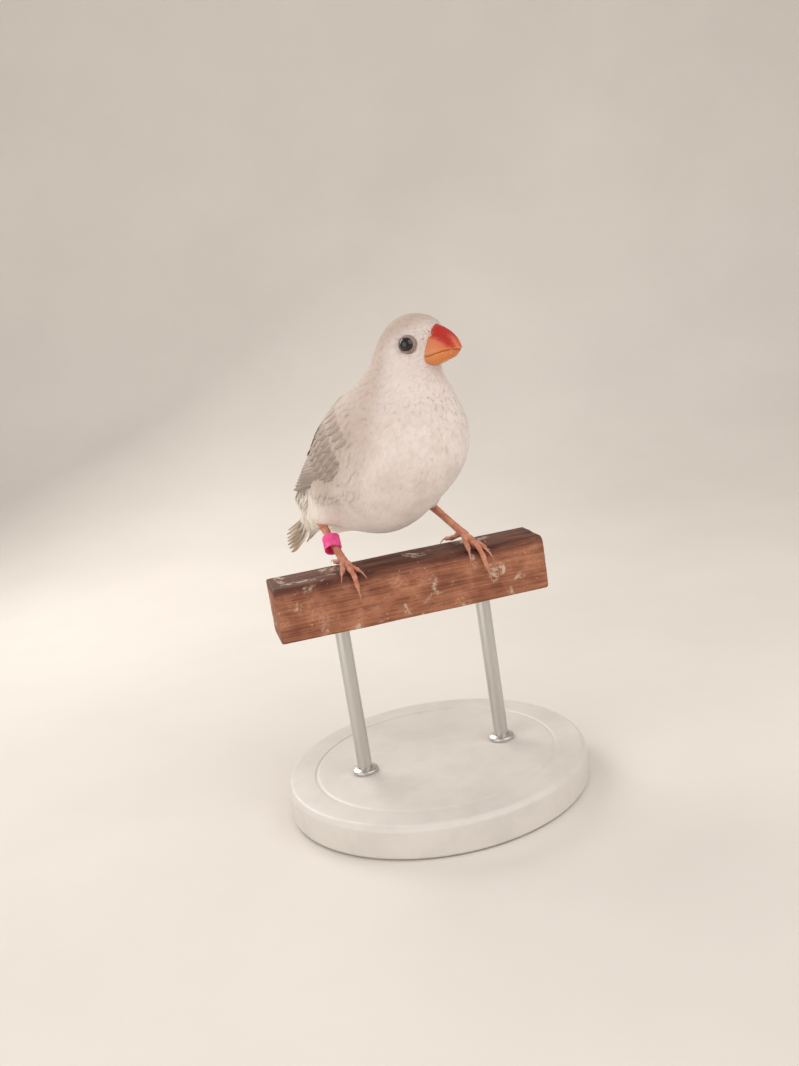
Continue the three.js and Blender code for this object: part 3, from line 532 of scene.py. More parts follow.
def remeshed(points, faces, grid):
    """The hull of overlapping bodies as one even mesh of quads, on a grid of that many millimetres."""
    mesh = bpy.data.meshes.new("rough")
    corners = [tuple(map(int, face)) for kind in faces for face in kind]
    mesh.from_pydata(points.tolist(), [], corners)
    rough = bpy.data.objects.new("rough", mesh)
    bpy.context.scene.collection.objects.link(rough)
    change = rough.modifiers.new("even", "REMESH")
    change.mode = "VOXEL"
    change.voxel_size = grid
    even = rough.evaluated_get(bpy.context.evaluated_depsgraph_get()).to_mesh()
    places = np.empty(len(even.vertices) * 3)
    even.vertices.foreach_get("co", places)
    sizes = np.empty(len(even.polygons), np.int32)
    even.polygons.foreach_get("loop_total", sizes)
    corners = np.empty(len(even.loops), np.int32)
    even.loops.foreach_get("vertex_index", corners)
    starts = np.cumsum(sizes) - sizes
    kinds = [corners[starts[sizes == n][:, None] + np.arange(n)] for n in (3, 4)]
    rough.to_mesh_clear()
    bpy.data.objects.remove(rough)
    bpy.data.meshes.remove(mesh)
    return places.reshape(-1, 3), kinds


# Places on the back and the wings are given along an axis from tail to neck, and round it in degrees.
AXIS_TAIL, AXIS_NECK = np.array([-34.0, 0, 5.0]), np.array([9.0, 0, 44.0])
AXIS_WAY = unit(AXIS_NECK - AXIS_TAIL)
AXIS_UP = np.cross(-LEFT, AXIS_WAY)
DEGREES_PER_MM, AXIS_PER_MM, WING_LIFT, RUMP_GAP = 4.1, 0.0172, 5.0, 3.1


def body_place(points):
    """Where points are along the axis (0 tail, 1 neck) and round it (0 on top), either side alike."""
    off = points - AXIS_TAIL
    along = off @ AXIS_WAY / np.linalg.norm(AXIS_NECK - AXIS_TAIL)
    return along, np.degrees(np.arctan2(np.abs(off[..., 1]), off @ AXIS_UP))


def wing_lift(along):
    """How far a wing's feathers stand off the body towards its tip."""
    return WING_LIFT * (1 - ease(along, 0.14, 0.6))


def wing_inside(points):
    """How many millimetres inside the wing's outline points lie; negative outside it."""
    along, around = body_place(points)
    close = np.sqrt(np.maximum(0, 1 - np.maximum(0, (along - 0.68) / 0.25) ** 2))
    top, low = mix(18, 32, ease(along, 0.3, 0.95)), mix(50, 116, ease(along, 0.22, 0.7))
    middle = mix(top, low, 0.45)
    top, low = mix(middle, top, close), mix(middle, low, close)
    across = np.minimum(around - top, low - around) / DEGREES_PER_MM
    return np.minimum(across, np.minimum(0.93 - along, along - 0.1) / AXIS_PER_MM)


def rump_fill(points):
    """How far the feathers of the rump are fluffed up under the tips of the folded wings."""
    along, around = body_place(points)
    beside = ease(around, 24, 40) * (1 - ease(around, 58, 76))
    under = beside * ease(along, 0.08, 0.2) * (1 - ease(along, 0.36, 0.5))
    return under * np.maximum(0, wing_lift(along) - RUMP_GAP)


def coat_level(points):
    """The coat's field, with the rump's fluffed feathers."""
    return coat_distance(points) - rump_fill(points)


def skin_level(points):
    """The level of the skin in the coat's field: less deep on the face, deeper under the wings."""
    q = to_head(points)
    on_face = ease(q[..., 0], -9, 3) * ease(q[..., 2], -11, -6)
    along = body_place(points)[0]
    midway = (1 - ease(along, 0.68, 0.8)) * ease(along, 0.42, 0.5)
    under_wing = 1.3 * ease(wing_inside(points), 0.2, 2.2) * midway
    return rump_fill(points) * 0.8 - mix(SKIN_DEPTH, FACE_SKIN_DEPTH, on_face) - under_wing


def markings(finish):
    """Plumage colour from where a point is on the bird, and the point: a white bird, washed with grey on
    the crown, nape and back, and cream at the vent, with painted light on the cheeks and at the vent."""
    spot = finish.place()
    a = math.radians(BODY_HEADING)
    x = finish.along(spot, (math.cos(a), -math.sin(a), 0))
    z = finish.along(spot, (0, 0, 1)) - RAIL_TOP
    drift = finish.cloud(spot, 0.16, 3.0, 0.55) - 0.5
    fine = finish.cloud(spot, 0.9, 2.0, 0.5) - 0.5
    wob = drift * 5.0 + fine * 1.2

    # back: 0 on the breast's side of the line from tail to neck, 1 on the back's side
    back = (z * 0.74 - x * 0.67 - 15.8 + wob).ease(-5.5, 9.0)
    head = (z + wob * 0.4).ease(46.0, 51.5)
    cap = (z + (x - 14.0) * -0.42 - 58.3 + wob * 0.5).ease(-3.5, 4.5) * head
    rear = (12.5 - x + (z - 52) * 0.25 + wob * 0.5).ease(-1.5, 6.5)
    nape = rear * (z + wob * 0.5).ease(37.0, 43.0)
    vent = (19.0 - z - (x + 15) * 0.9 + wob * 1.3).ease(-7.0, 9.0)

    white = finish.blend(seen(229, 218, 212), seen(219, 206, 198), (drift + 0.5).ease(0.35, 0.7))
    # painted light: the cheeks are painted lighter and their grey wash is thinned
    cheek_painted_light = (z + wob * 0.4).ease(33.0, 47.0) * (x + wob * 0.4).ease(7.0, 15.0)
    white = finish.blend(white, seen(230, 219, 214), cheek_painted_light * 0.9)
    tone = finish.blend(white, seen(196, 178, 165), back * (0.95 - 0.7 * cheek_painted_light))
    tone = finish.blend(tone, seen(204, 187, 175), nape * 0.8)
    tone = finish.blend(tone, seen(184, 164, 151), cap * 0.95)
    # cream at the vent, painted brighter there as painted light against the shade under the wings
    tone = finish.blend(tone, seen(250, 242, 229), vent * 0.95)
    return tone, spot


skin = Finish("skin_under_coat", {"Roughness": 0.7, "Subsurface Weight": 0.1})
tone, spot = markings(skin)
down = skin.cloud(spot, 2.2, 4.0, 0.7)
skin.set("Base Color", skin.shade(tone, 0.9 + 0.12 * down))
skin.relief(down, 0.3, 0.7)

skin_points, skin_faces = remeshed(*rough_body(), SKIN_GRID)
for _ in range(3):
    skin_points = laid(skin_distance, skin_points, skin_level(skin_points), turns=2)
piece("skin", to_model(skin_points), skin_faces, skin, "white_plumage",
      ["torso", "neck", "head", "thigh_left", "thigh_right"])


# Bill: two horny halves that meet along the mouth, the upper one overhanging, red along its ridge and
# orange towards the mouth. The nostrils open high at its base, beside the first feathers.
# Places are in the head's frame. The outlines give the height of its ridge and of its lower edge.
BILL_BACK, BILL_TIP, BILL_LOW_TIP, BILL_HALF = 3.6, 13.2, 12.7, 3.9
CULMEN = [(3.6, 6.0), (5.6, 5.65), (7.4, 5.0), (9.4, 3.9), (11.0, 2.65), (12.3, 0.95), (13.2, -1.4)]
GONYS = [(3.6, -5.15), (6.6, -4.75), (9.1, -3.95), (11.2, -3.2), (12.6, -2.0), (12.7, -1.9)]
NOSTRIL, NOSTRIL_WIDE, NOSTRIL_DEPTH = np.array([6.9, 2.9, 2.8]), 0.5, 0.75
MOUTH_GAP = 0.1


def curve(table, x):
    """A smooth curve through a table, read at x."""
    xs, ys = np.array(table, float).T
    slopes = np.gradient(ys, xs)
    i = np.clip(np.searchsorted(xs, x, side="right") - 1, 0, len(xs) - 2)
    step = xs[i + 1] - xs[i]
    t = np.clip((x - xs[i]) / step, 0, 1)
    a, b = (1 + 2 * t) * (1 - t) ** 2, t * t * (3 - 2 * t)
    c, d = t * (1 - t) ** 2 * step, t * t * (t - 1) * step
    return a * ys[i] + b * ys[i + 1] + c * slopes[i] + d * slopes[i + 1]


def mouth_line(x):
    """The height of the mouth along the bill: it rises a little to the tip and bows up between."""
    return mix(-2.3, -1.5, ease(x, 5, BILL_TIP)) + 0.35 * np.sin(np.clip((x - 6) / 7, 0, 1) * math.pi)


def bill_half(x, tip):
    """Half the bill's width, which narrows in a round point."""
    t = np.clip((x - BILL_BACK) / (tip - BILL_BACK), 0, 1)
    return BILL_HALF * (1.06 - 0.3 * t) * np.sqrt(np.maximum(0, 1 - t**2.2)) + 0.1


def bill_rings(outline, tip, side, roundness, steps=70, arc=48):
    """Rings of one half of the bill, each from the mouth's edge over the outside and back inside."""
    rings = []
    for t in np.linspace(0, 1, steps):
        x = mix(BILL_BACK, tip - 0.04, 1 - (1 - t) ** 1.6)
        half = bill_half(x, tip)
        mouth = mouth_line(x) + side * MOUTH_GAP / 2
        edge = curve(outline, x)
        a = np.linspace(0, math.pi, arc)
        lip = 0.10 * np.exp(-((np.sin(a) / 0.16) ** 2))
        y = half * np.cos(a) * (1 + lip * 0.25)
        z = mix(mouth, edge, np.sin(a) ** roundness)
        inner = np.linspace(-0.93, 0.93, 14)
        hollow = side * 0.35 * (1 - inner**2)
        ys = np.concatenate([y, half * inner])
        zs = np.concatenate([z, mouth + hollow])
        rings.append(np.stack([np.full(len(ys), x), ys, zs], axis=1))
    return np.array(rings)


def nostril_pits(rings):
    """Presses the two nostrils into the upper half."""
    for side in (-1, 1):
        way = unit(np.array([0.25, side, 0.55]))
        off = rings - NOSTRIL * np.array([1, side, 1])
        flat = off - (off @ way)[..., None] * way
        flat[..., 0] /= 1.35
        reach = np.linalg.norm(flat, axis=-1)
        outer = off @ way > -1.2
        pit = outer * np.exp(-((reach / NOSTRIL_WIDE) ** 4))
        rim = outer * np.exp(-(((reach - 0.72) / 0.2) ** 2))
        rings = rings - way * (NOSTRIL_DEPTH * pit - 0.05 * rim)[..., None]
    return rings


horn = Finish("bill_horn", {"Roughness": 0.3, "Subsurface Weight": 0.2, "Coat Weight": 0.15,
                            "Coat Roughness": 0.15})
horn.shader.inputs["Subsurface Radius"].default_value = (1.0, 0.35, 0.15)
horn.shader.inputs["Subsurface Scale"].default_value = 0.6 * MM
spot = horn.place()
centre = to_model(from_head(np.zeros(3)))
a = math.radians(BODY_HEADING - HEAD_YAW)
ahead = (math.cos(a), -math.sin(a), 0)
bill_x = horn.along(spot, ahead) - float(centre @ ahead)
bill_z = horn.along(spot, (0, 0, 1)) - float(centre[2])
streak = horn.cloud(horn.stretch(spot, (0.9, 0.9, 2.6)), 1.0, 4.0, 0.6)
flecks = horn.cloud(spot, 1.9, 3.0, 0.6)
height = bill_z + bill_x * 0.75 + (streak - 0.5) * 1.6
tone = horn.blend(seen(212, 130, 60), seen(204, 102, 42), height.ease(2.0, 7.5))
ridge = height.ease(6.9, 8.3) * (1 - (bill_x + streak * 3).ease(12.5, 15.0))
tone = horn.blend(tone, seen(176, 26, 6), ridge)
from_mouth = abs(bill_z + 1.7 + (flecks - 0.5))
tone = horn.blend(tone, seen(222, 158, 104), (1 - from_mouth.ease(0.1, 1.5)) * flecks.ease(0.35, 0.7) * 0.6)
tone = horn.blend(tone, seen(196, 120, 88), (1 - bill_x.ease(5.2, 8.2)) * 0.45)
horn.set("Base Color", tone)
horn.set("Roughness", 0.24 + 0.18 * streak)
lines = horn.cloud(horn.stretch(spot, (1.4, 1.4, 5.0)), 1.0, 5.0, 0.7)
horn.relief(streak * 0.5 + flecks * 0.3 + lines * 0.5, 0.10, 0.7)

points, faces = loft(nostril_pits(bill_rings(CULMEN, BILL_TIP, side=1, roundness=0.86)))
piece("bill_top_half", to_model(from_head(points)), faces, horn, "orange_red_bill", ["bill_upper"])
points, faces = loft(bill_rings(GONYS, BILL_LOW_TIP, side=-1, roundness=0.76)[:, ::-1])
piece("bill_low_half", to_model(from_head(points)), faces, horn, "orange_red_bill", ["bill_lower"])


# Eyes: dark wet balls sunk into the head's sides, each held by a thin ring of bare lid with fine beads.
EYE_PLACE, EYE_RADIUS, EYE_SUNK = np.array([2.2, 7.6, 1.35]), 2.2, 0.95
LID_STEPS, LID_BEADS, LID_FOLDS = 112, 28, 17

# The lid's section, as angles out from its opening and distances from the eye's middle. Some points of it
# are beaded or folded round the eye.
LID_SECTION = [(-0.02, 2.12), (-0.03, 2.3), (0.03, 2.42), (0.10, 2.41), (0.16, 2.36), (0.26, 2.38),
               (0.40, 2.40), (0.56, 2.44), (0.7, 2.3), (0.6, 2.1), (0.3, 2.0), (0.05, 2.0)]
BEADED, FOLDED = (1, 2, 3), (5, 6)


def eye_frame(side):
    """Where an eye is and its three ways: ahead, up and outwards, in the head's frame."""
    out = unit(np.array([0.16, side, 0.1]))
    middle = np.array([EYE_PLACE[0], side * (EYE_PLACE[1] - EYE_SUNK), EYE_PLACE[2]])
    ahead = unit(np.cross(np.array([0, 0, 1.0]), out) * side)
    return middle, ahead, np.cross(out, ahead) * side, out


glass = Finish("dark_wet_eye", {"Roughness": 0.1, "Coat Weight": 0.35, "Coat Roughness": 0.03,
                                "Specular IOR Level": 0.35})
for side, name in ((1, "left"), (-1, "right")):
    middle, ahead, up_way, out = eye_frame(side)
    ball, faces = loft(sphere_mesh(64, 40))
    dome = 1 + 0.05 * ease(ball[:, 2], 0.55, 1.0)
    points = middle + EYE_RADIUS * (ball * dome[:, None]) @ np.stack([ahead, up_way, out])
    faces = [face[:, ::side] for face in faces]
    piece("eyeball_" + name, to_model(from_head(points)), faces, glass, "dark_eye", ["eye_" + name])
spot = glass.place()
depth = glass.cloud(spot, 0.8, 2.0)
glass.set("Base Color", glass.blend(seen(14, 8, 6), seen(40, 22, 14), depth.ease(0.3, 0.75)))

lid = Finish("bare_lid", {"Roughness": 0.5, "Subsurface Weight": 0.2})
lid.shader.inputs["Subsurface Scale"].default_value = 0.5 * MM
spot = lid.place()
fold = lid.cloud(spot, 3.5, 3.0, 0.6)
lid.set("Base Color", lid.blend(seen(112, 94, 86), seen(166, 148, 138), fold.ease(0.3, 0.7)))
lid.relief(fold, 0.08, 0.7)
for side, name in ((1, "left"), (-1, "right")):
    middle, ahead, up_way, out = eye_frame(side)
    rings = []
    for a in np.arange(LID_STEPS) * 2 * math.pi / LID_STEPS:
        open_wide = math.radians(mix(49, 60, abs(math.cos(a)) ** 1.5))
        way = ahead * math.cos(a) + up_way * math.sin(a)
        turns, reach = np.array(LID_SECTION).T
        reach[list(BEADED)] += 0.045 * math.cos(a * LID_BEADS)
        reach[list(FOLDED)] += 0.05 * math.sin(a * LID_FOLDS + 1)
        turns = (open_wide + turns)[:, None]
        rings.append(middle + reach[:, None] * (out * np.cos(turns) + way * np.sin(turns)))
    rings = np.array(rings)
    columns = rings.shape[1]
    i, j = np.meshgrid(np.arange(LID_STEPS), np.arange(columns), indexing="ij")
    a, b = (i * columns + j).ravel(), (i * columns + (j + 1) % columns).ravel()
    c = (((i + 1) % LID_STEPS) * columns + (j + 1) % columns).ravel()
    d = (((i + 1) % LID_STEPS) * columns + j).ravel()
    quads = np.stack([a, b, c, d], axis=1)[:, ::side]
    piece("lid_" + name, to_model(from_head(rings.reshape(-1, 3))), [quads], lid, "bare_skin")


# Legs and feet: slim bare shanks with a row of plates down the front, and scaly toes, three ahead and one
# behind, that lie over the rail's top and hook down its faces. Each toe ends in a curved claw of horn.
# Each toe is how far along the rail its tip lies from its root, and its length; the last points back.
TOES = {
    "right": [(3.8, 9.9), (1.7, 14.6), (-2.8, 9.6), (-1.6, 11.5)],
    "left": [(-1.8, 11.0), (3.8, 17.2), (4.7, 11.6), (-4.0, 12.0)],
}
SHANK_RADIUS, SHANK_PLATE, SHANK_SIDES = 1.05, 1.55, 40
TOE_RADIUS, TOE_END, TOE_LIFT, TOE_PLATE, TOE_STEPS = 0.85, 0.58, 0.98, 0.86, 240
CLAW_LENGTH, CLAW_BULGE, CLAW_DRIFT, CLAW_HIDDEN = 4.05, 0.35, 0.65, 0.45


def swept(path, across, outline):
    """A closed body along a path. The outline gives (sideways, up) for each step and angle."""
    way = unit(np.gradient(path, axis=0))
    side = unit(np.cross(across, way))
    up = np.cross(way, side)
    aside, high = outline
    rings = path[:, None] + side[:, None] * aside[..., None] + up[:, None] * high[..., None]
    return loft(rings)


def plates(length, pitch):
    """Steps of overlapping plates along a length: 0 at the start of each plate, 1 at its free edge."""
    t = (length / pitch) % 1.0
    return t * ease(t, 1.0, 0.88)


def smoothed(path, times):
    """A path with its corners evened out and its ends kept."""
    for _ in range(times):
        path[1:-1] = (path[:-2] + 2 * path[1:-1] + path[2:]) / 4
    return path


def toe_path(hub, ahead, sideways, length):
    """The middle line of a toe, from its root over the rail's top and down one of its faces."""
    round_off = RAIL_ROUNDS["front_top" if ahead else "back_top"]
    bend = round_off + TOE_LIFT
    turn = RAIL_DEPTH / 2 - round_off
    start = -hub[1] if ahead else hub[1]
    flat = turn - start
    u = np.linspace(0, length, TOE_STEPS)
    angle = np.clip((u - flat) / bend, 0, math.pi / 2)
    y = np.where(u < flat, start + u, turn + bend * np.sin(angle))
    z = bend * np.cos(angle) - round_off - np.maximum(0, u - flat - bend * math.pi / 2)
    z = z + (hub[2] - TOE_LIFT) * (1 - ease(u, 0, flat))
    path = np.stack([hub[0] + sideways * u / length, -y if ahead else y, z + RAIL_TOP], axis=1)
    return smoothed(path, 30)


scaly = Finish("scaly_leg_skin", {"Roughness": 0.45, "Subsurface Weight": 0.25, "Coat Weight": 0.1,
                                  "Coat Roughness": 0.35})
scaly.shader.inputs["Subsurface Radius"].default_value = (1.0, 0.4, 0.25)
scaly.shader.inputs["Subsurface Scale"].default_value = 0.5 * MM
spot = scaly.place()
blotch = scaly.cloud(spot, 0.55, 3.0, 0.5)
grain = scaly.cloud(spot, 5.0, 3.0, 0.6)
groove = scaly.attribute("plate")
tone = scaly.blend(seen(184, 114, 88), seen(206, 144, 116), blotch.ease(0.35, 0.65))
tone = scaly.blend(tone, seen(128, 66, 48), (1 - groove.ease(0.0, 0.22)) * 0.75)
scaly.set("Base Color", tone)
scaly.set("Roughness", 0.38 + 0.25 * grain)
scaly.relief(grain, 0.05, 0.6)

claw_horn = Finish("claw_horn", {"Roughness": 0.35, "Subsurface Weight": 0.2, "Coat Weight": 0.2})
claw_horn.shader.inputs["Subsurface Scale"].default_value = 0.4 * MM
spot = claw_horn.place()
layers = claw_horn.cloud(claw_horn.stretch(spot, (3.0, 3.0, 0.8)), 1.0, 4.0, 0.6)
claw_horn.set("Base Color", claw_horn.blend(seen(166, 114, 92), seen(194, 144, 118), layers.ease(0.3, 0.7)))
claw_horn.relief(layers, 0.05, 0.5)


def keep(made, name, values):
    """Keeps a number for each point of a piece, for its finish to read."""
    layer = made.data.attributes.new(name, "FLOAT", "POINT")
    layer.data.foreach_set("value", np.asarray(values, np.float32))


def groove_values(step, share):
    """Where each point lies on its plate, plain where there are none, and at the two closed ends."""
    return np.concatenate([mix(0.6 + 0 * step, step, share).ravel(), [0.5, 0.5]])


rail_way = np.array([1.0, 0, 0])
a = np.arange(SHANK_SIDES) * 2 * math.pi / SHANK_SIDES
for name, joints in LEG_JOINTS.items():
    hub, heel, knee = (np.array(joints[k]) + np.array([0, 0, RAIL_TOP]) for k in ("hub", "heel", "knee"))
    path = hub + np.linspace(-0.06, 1.0, 150)[:, None] * (heel - hub)
    bend = np.linspace(0, 1, 30)[1:, None]
    path = smoothed(np.concatenate([path, heel + unit(knee - heel) * bend * 3.2]), 60)
    far = run_along(path)[:, None]
    t = far / np.linalg.norm(heel - hub)
    step = plates(far + 0 * a, SHANK_PLATE)
    front = ease(np.sin(a), 0.1, 0.7)
    waist = 1 + 0.22 * np.abs(2 * np.clip(t, 0, 1) - 1) ** 3
    r = SHANK_RADIUS * waist * (1 + front * (0.12 * step - 0.03))
    r = r * (1 + 0.03 * (1 - front) * np.cos(a * 9) * np.cos(far * 6.5))
    r = r * mix(1, 0.3, ease(t, 1.18, 1.3))
    outline = (r * np.cos(a) * 0.92, r * np.sin(a) * (1 + 0.06 * np.cos(2 * a)))
    points, faces = swept(path, rail_way, outline)
    made = piece("shank_" + name, points, faces, scaly, "bare_skin", ["leg_" + name])
    keep(made, "plate", groove_values(step, front))

    toes, grooves = [], []
    for i, (sideways, length) in enumerate(TOES[name]):
        ahead = i < 3
        path = toe_path(np.array(joints["hub"]), ahead, sideways, length)
        far = np.linspace(0, length, TOE_STEPS)
        cut = int(TOE_STEPS * (1 - (CLAW_LENGTH - CLAW_HIDDEN) / length))
        across = rail_way if ahead else -rail_way
        line, reach = path[: cut + 6], far[: cut + 6, None]
        t = reach / far[cut]
        step = plates(reach + 0 * a, TOE_PLATE)
        above = ease(-np.sin(a), -0.15, 0.5)
        pads = 0.13 * np.cos(t * math.pi * 2 * (3 if length < 13 else 4)) * (1 - above)
        r = mix(TOE_RADIUS, TOE_END, np.clip(t, 0, 1)) * (1 + above * (0.18 * step - 0.05) + pads)
        r = r * (1 + 0.025 * (1 - above) * np.cos(a * 11) * np.cos(reach * 9))
        r = r * mix(1, 0.45, ease(t, 0.98, 1.06)) * mix(1.15, 1, ease(t, 0, 0.12))
        toes.append(swept(line, across, (r * np.cos(a) * 0.96, r * np.sin(a))))
        grooves.append(groove_values(step, above))

        way = unit(path[cut + 1] - path[cut - 1])
        outside = unit(np.cross(way, across))
        t = np.linspace(0, 1, 48)
        offset = CLAW_BULGE * np.sin(math.pi * t) - CLAW_DRIFT * t * t
        claw = path[cut] + way * (CLAW_LENGTH * t)[:, None] + outside * offset[:, None]
        b = np.arange(20) * 2 * math.pi / 20
        r = mix(TOE_END * 0.84, 0.05, t**0.85)[:, None]
        keel = 1 + 0.12 * np.cos(2 * b) * np.sin(math.pi * np.clip(t * 1.3, 0, 1))[:, None]
        points, faces = swept(claw, across, (r * np.cos(b) * 0.78 * (2 - keel), r * np.sin(b) * keel))
        title = f"{name}_{i + 1}"
        piece("talon_" + title, points, faces, claw_horn, "claw_horn", ["claw_" + title])
    made = piece("toes_" + name, *gathered(toes), scaly, "bare_skin", ["foot_" + name])
    keep(made, "plate", np.concatenate(grooves))


# Leg ring: a split band of bright pink plastic, bent round so that its ends lap, loose on the right shank.
RING_OUTER, RING_INNER, RING_HEIGHT, RING_ROUND, RING_LAP = 2.45, 1.97, 4.2, 0.14, 0.26
RING_UP, RING_TILT, RING_HANG, RING_SEAM = 6.6, 14.0, 0.45, 2.4
plastic = Finish("pink_plastic", {"Roughness": 0.35, "Subsurface Weight": 0.3, "Coat Weight": 0.15,
                                  "Coat Roughness": 0.2})
plastic.shader.inputs["Subsurface Scale"].default_value = 0.8 * MM
spot = plastic.place()
haze = plastic.cloud(spot, 0.8, 4.0, 0.6)
scuffs = plastic.cloud(plastic.stretch(spot, (1.2, 1.2, 7.0)), 1.0, 4.0, 0.7)
plastic.set("Base Color", plastic.blend(seen(238, 60, 138), seen(246, 104, 166), haze.ease(0.35, 0.7)))
plastic.set("Roughness", 0.28 + 0.3 * scuffs.ease(0.4, 0.75))
plastic.relief(scuffs, 0.04, 0.5)

joints = LEG_JOINTS["right"]
hub, heel = (np.array(joints[k]) + np.array([0, 0, RAIL_TOP]) for k in ("hub", "heel"))
way = unit(heel - hub)
aside = unit(rail_way - way[0] * way)
tilt = math.radians(RING_TILT)
axis = math.cos(tilt) * way + math.sin(tilt) * aside
one = unit(np.cross(axis, LEFT))
two = np.cross(axis, one)
corners = []
outer, high = RING_OUTER - RING_INNER - RING_ROUND, RING_HEIGHT / 2 - RING_ROUND
for start, r, h in ((0, outer, high), (90, RING_ROUND, high), (180, RING_ROUND, -high), (270, outer, -high)):
    for b in np.radians(np.linspace(start, start + 90, 6)):
        corners.append((r + RING_ROUND * math.cos(b), h + RING_ROUND * math.sin(b)))
section = np.array(corners)
rings = []
for a in np.linspace(0, 2 * math.pi + 0.5, 150):
    lap = RING_LAP * (ease(a, 2 * math.pi - 0.5, 2 * math.pi + 0.1) - ease(0.6 - a, 0, 0.6))
    outwards = one * math.cos(a + RING_SEAM) + two * math.sin(a + RING_SEAM)
    r = RING_INNER - 0.1 + lap + section[:, 0] * 0.8
    rings.append(hub + way * RING_UP - aside * RING_HANG + outwards * r[:, None] + axis * section[:, 1:])
points, faces = loft(rings)
piece("split_band", points, faces, plastic, "pink_plastic", ["leg_ring"])


# Tail: twelve long feathers in a folded fan, the middle pair on top, in a sheath of short coverts that
# grows from the rump. Each feather has a shaft and two webs of barbs, and is one closed thin vane.
TAIL_ROOT, TAIL_TIP = np.array([-18.0, 0, 19.5]), np.array([-47.4, 0, 4.4])
TAIL_SPREAD, TAIL_DROP, TAIL_ROLL, TAIL_FEATHER = 7.8, 0.045, 28.0, 2.9
VANE_THICK, VANE_CAMBER, SHAFT_HEIGHT, MAP_PATCH = 0.2, 0.2, 0.10, 0.003
tail_way = unit(TAIL_TIP - TAIL_ROOT)
tail_up = np.cross(LEFT, tail_way)
tail_length = float(np.linalg.norm(TAIL_TIP - TAIL_ROOT))
dice = np.random.default_rng(7)


def tail_place(ahead, across, height, drop=1.0):
    """Points of the tail: the fan droops to its sides, and rolls about its own line beyond the rump."""
    roll = np.radians(TAIL_ROLL * ease(ahead, 8, 22))[..., None]
    lift = height - drop * TAIL_DROP * across * across
    middle = TAIL_ROOT + ahead[..., None] * tail_way
    middle = middle + across[..., None] * (LEFT * np.cos(roll) + tail_up * np.sin(roll))
    return middle + lift[..., None] * (tail_up * np.cos(roll) - LEFT * np.sin(roll))


def coat_map(points):
    """Where points lie on an unwrap of the body: round a spine from the tail to the crown, and along it."""
    spine = np.array([[-47, 0, 4], [-25, 0, 15], [-4, 0, 27], [8, 0.6, 40], [11.5, 1.4, 48],
                      [14.5, 2.3, 56], [22, 4, 58]])
    run = run_along(spine)
    stops = np.linspace(0, run[-1], 120)
    line = np.stack([np.interp(stops, run, spine[:, k]) for k in range(3)], axis=1)
    ways = unit(np.gradient(line, axis=0))
    near = np.concatenate([((part[:, None] - line) ** 2).sum(axis=2).argmin(axis=1)
                           for part in np.array_split(points, max(1, len(points) // 4000))])
    off = points - line[near]
    top = np.cross(ways[near], LEFT)
    angle = np.arctan2(off @ LEFT, (off * top).sum(axis=1))
    along = (stops[near] + (off * ways[near]).sum(axis=1)) / run[-1]
    return np.stack([0.5 + 0.47 * angle / math.pi, 0.04 + 0.9 * np.clip(along, 0, 1)], axis=1)


def grid_quads(rows, columns):
    """The faces between the points of a grid."""
    i, j = np.meshgrid(np.arange(rows - 1), np.arange(columns - 1), indexing="ij")
    a = (i * columns + j).ravel()
    return np.stack([a, a + 1, a + columns + 1, a + columns], axis=1)


class Vanes:
    """Many closed thin vanes gathered into one mesh, with their maps and a shade for each."""

    def __init__(self):
        self.parts = []
        self.count = 0

    def add(self, lower, upper, u, v, shade, long, wide):
        """A vane from grids of points for its two sides. u runs from the root to the tip, v across."""
        rows, columns = u.shape
        points = np.concatenate([lower.reshape(-1, 3), upper.reshape(-1, 3)])
        n = rows * columns
        quads = grid_quads(rows, columns)
        rim = np.concatenate([np.arange(columns - 1), np.arange(rows - 1) * columns + columns - 1,
                              n - 1 - np.arange(columns - 1), (rows - 1 - np.arange(rows - 1)) * columns])
        ahead = np.roll(rim, -1)
        edge = np.stack([rim, ahead, ahead + n, rim + n], axis=1)
        quads = np.concatenate([quads[:, ::-1], quads + n, edge]) + self.count
        face = unit(np.cross(np.gradient(upper, axis=0), np.gradient(upper, axis=1)))
        turned_over = ((upper - lower) * face).sum() < 0
        face = face.reshape(-1, 3) * (-1 if turned_over else 1)
        grid = np.tile(np.stack([u.ravel(), v.ravel()], axis=1), (2, 1))
        patch = coat_map(points[columns // 2][None]) + MAP_PATCH * grid
        self.parts.append((points, quads if turned_over else quads[:, ::-1], patch, grid * [long, wide],
                           np.full(2 * n, shade), np.concatenate([-face, face])))
        self.count += 2 * n

    def piece(self, name, finish, slot, replaces):
        points, quads, patch, barbs, shades, normals = (np.concatenate(p) for p in zip(*self.parts))
        made = piece(name, to_model(points), [quads], finish, slot, replaces,
                     {"OFBake": patch, "barbs": barbs}, turn_z(normals, -BODY_HEADING))
        keep(made, "shade", shades)


def quill(vanes, place, long, wide, pointed=0.3, rows=26, columns=9):
    """A long feather. place(u, across, height) puts its points, with across in millimetres."""
    u, v = np.meshgrid(np.linspace(0, 1, rows) ** 0.9, np.linspace(-1, 1, columns), indexing="ij")
    blunt = np.sqrt(np.maximum(0, 1 - np.maximum(0, (u - 1 + pointed) / pointed) ** 2.2))
    taper = mix(0.55, 1, ease(u, 0, 0.35)) * np.maximum(blunt, 0.04)
    ragged = 1 + 0.05 * np.sin(u * 37 + dice.uniform(0, 6)) * np.abs(v) ** 4 * ease(u, 0.3, 0.7)
    across = wide / 2 * v * taper * ragged
    sweep = u - 0.05 * np.abs(v) ** 1.5 * taper * ease(u, 0.5, 1)
    arch = VANE_CAMBER * (1 - v * v)
    shaft = SHAFT_HEIGHT * np.exp(-((v / 0.16) ** 2)) * (1 - 0.8 * u)
    edge = np.sqrt(np.maximum(0, 1 - np.abs(v) ** 3))
    lower = place(sweep, across, arch - VANE_THICK / 2 * edge)
    upper = place(sweep, across, arch + VANE_THICK / 2 * edge + shaft)
    vanes.add(lower, upper, u, (v + 1) / 2, dice.uniform(0, 1), long, wide)


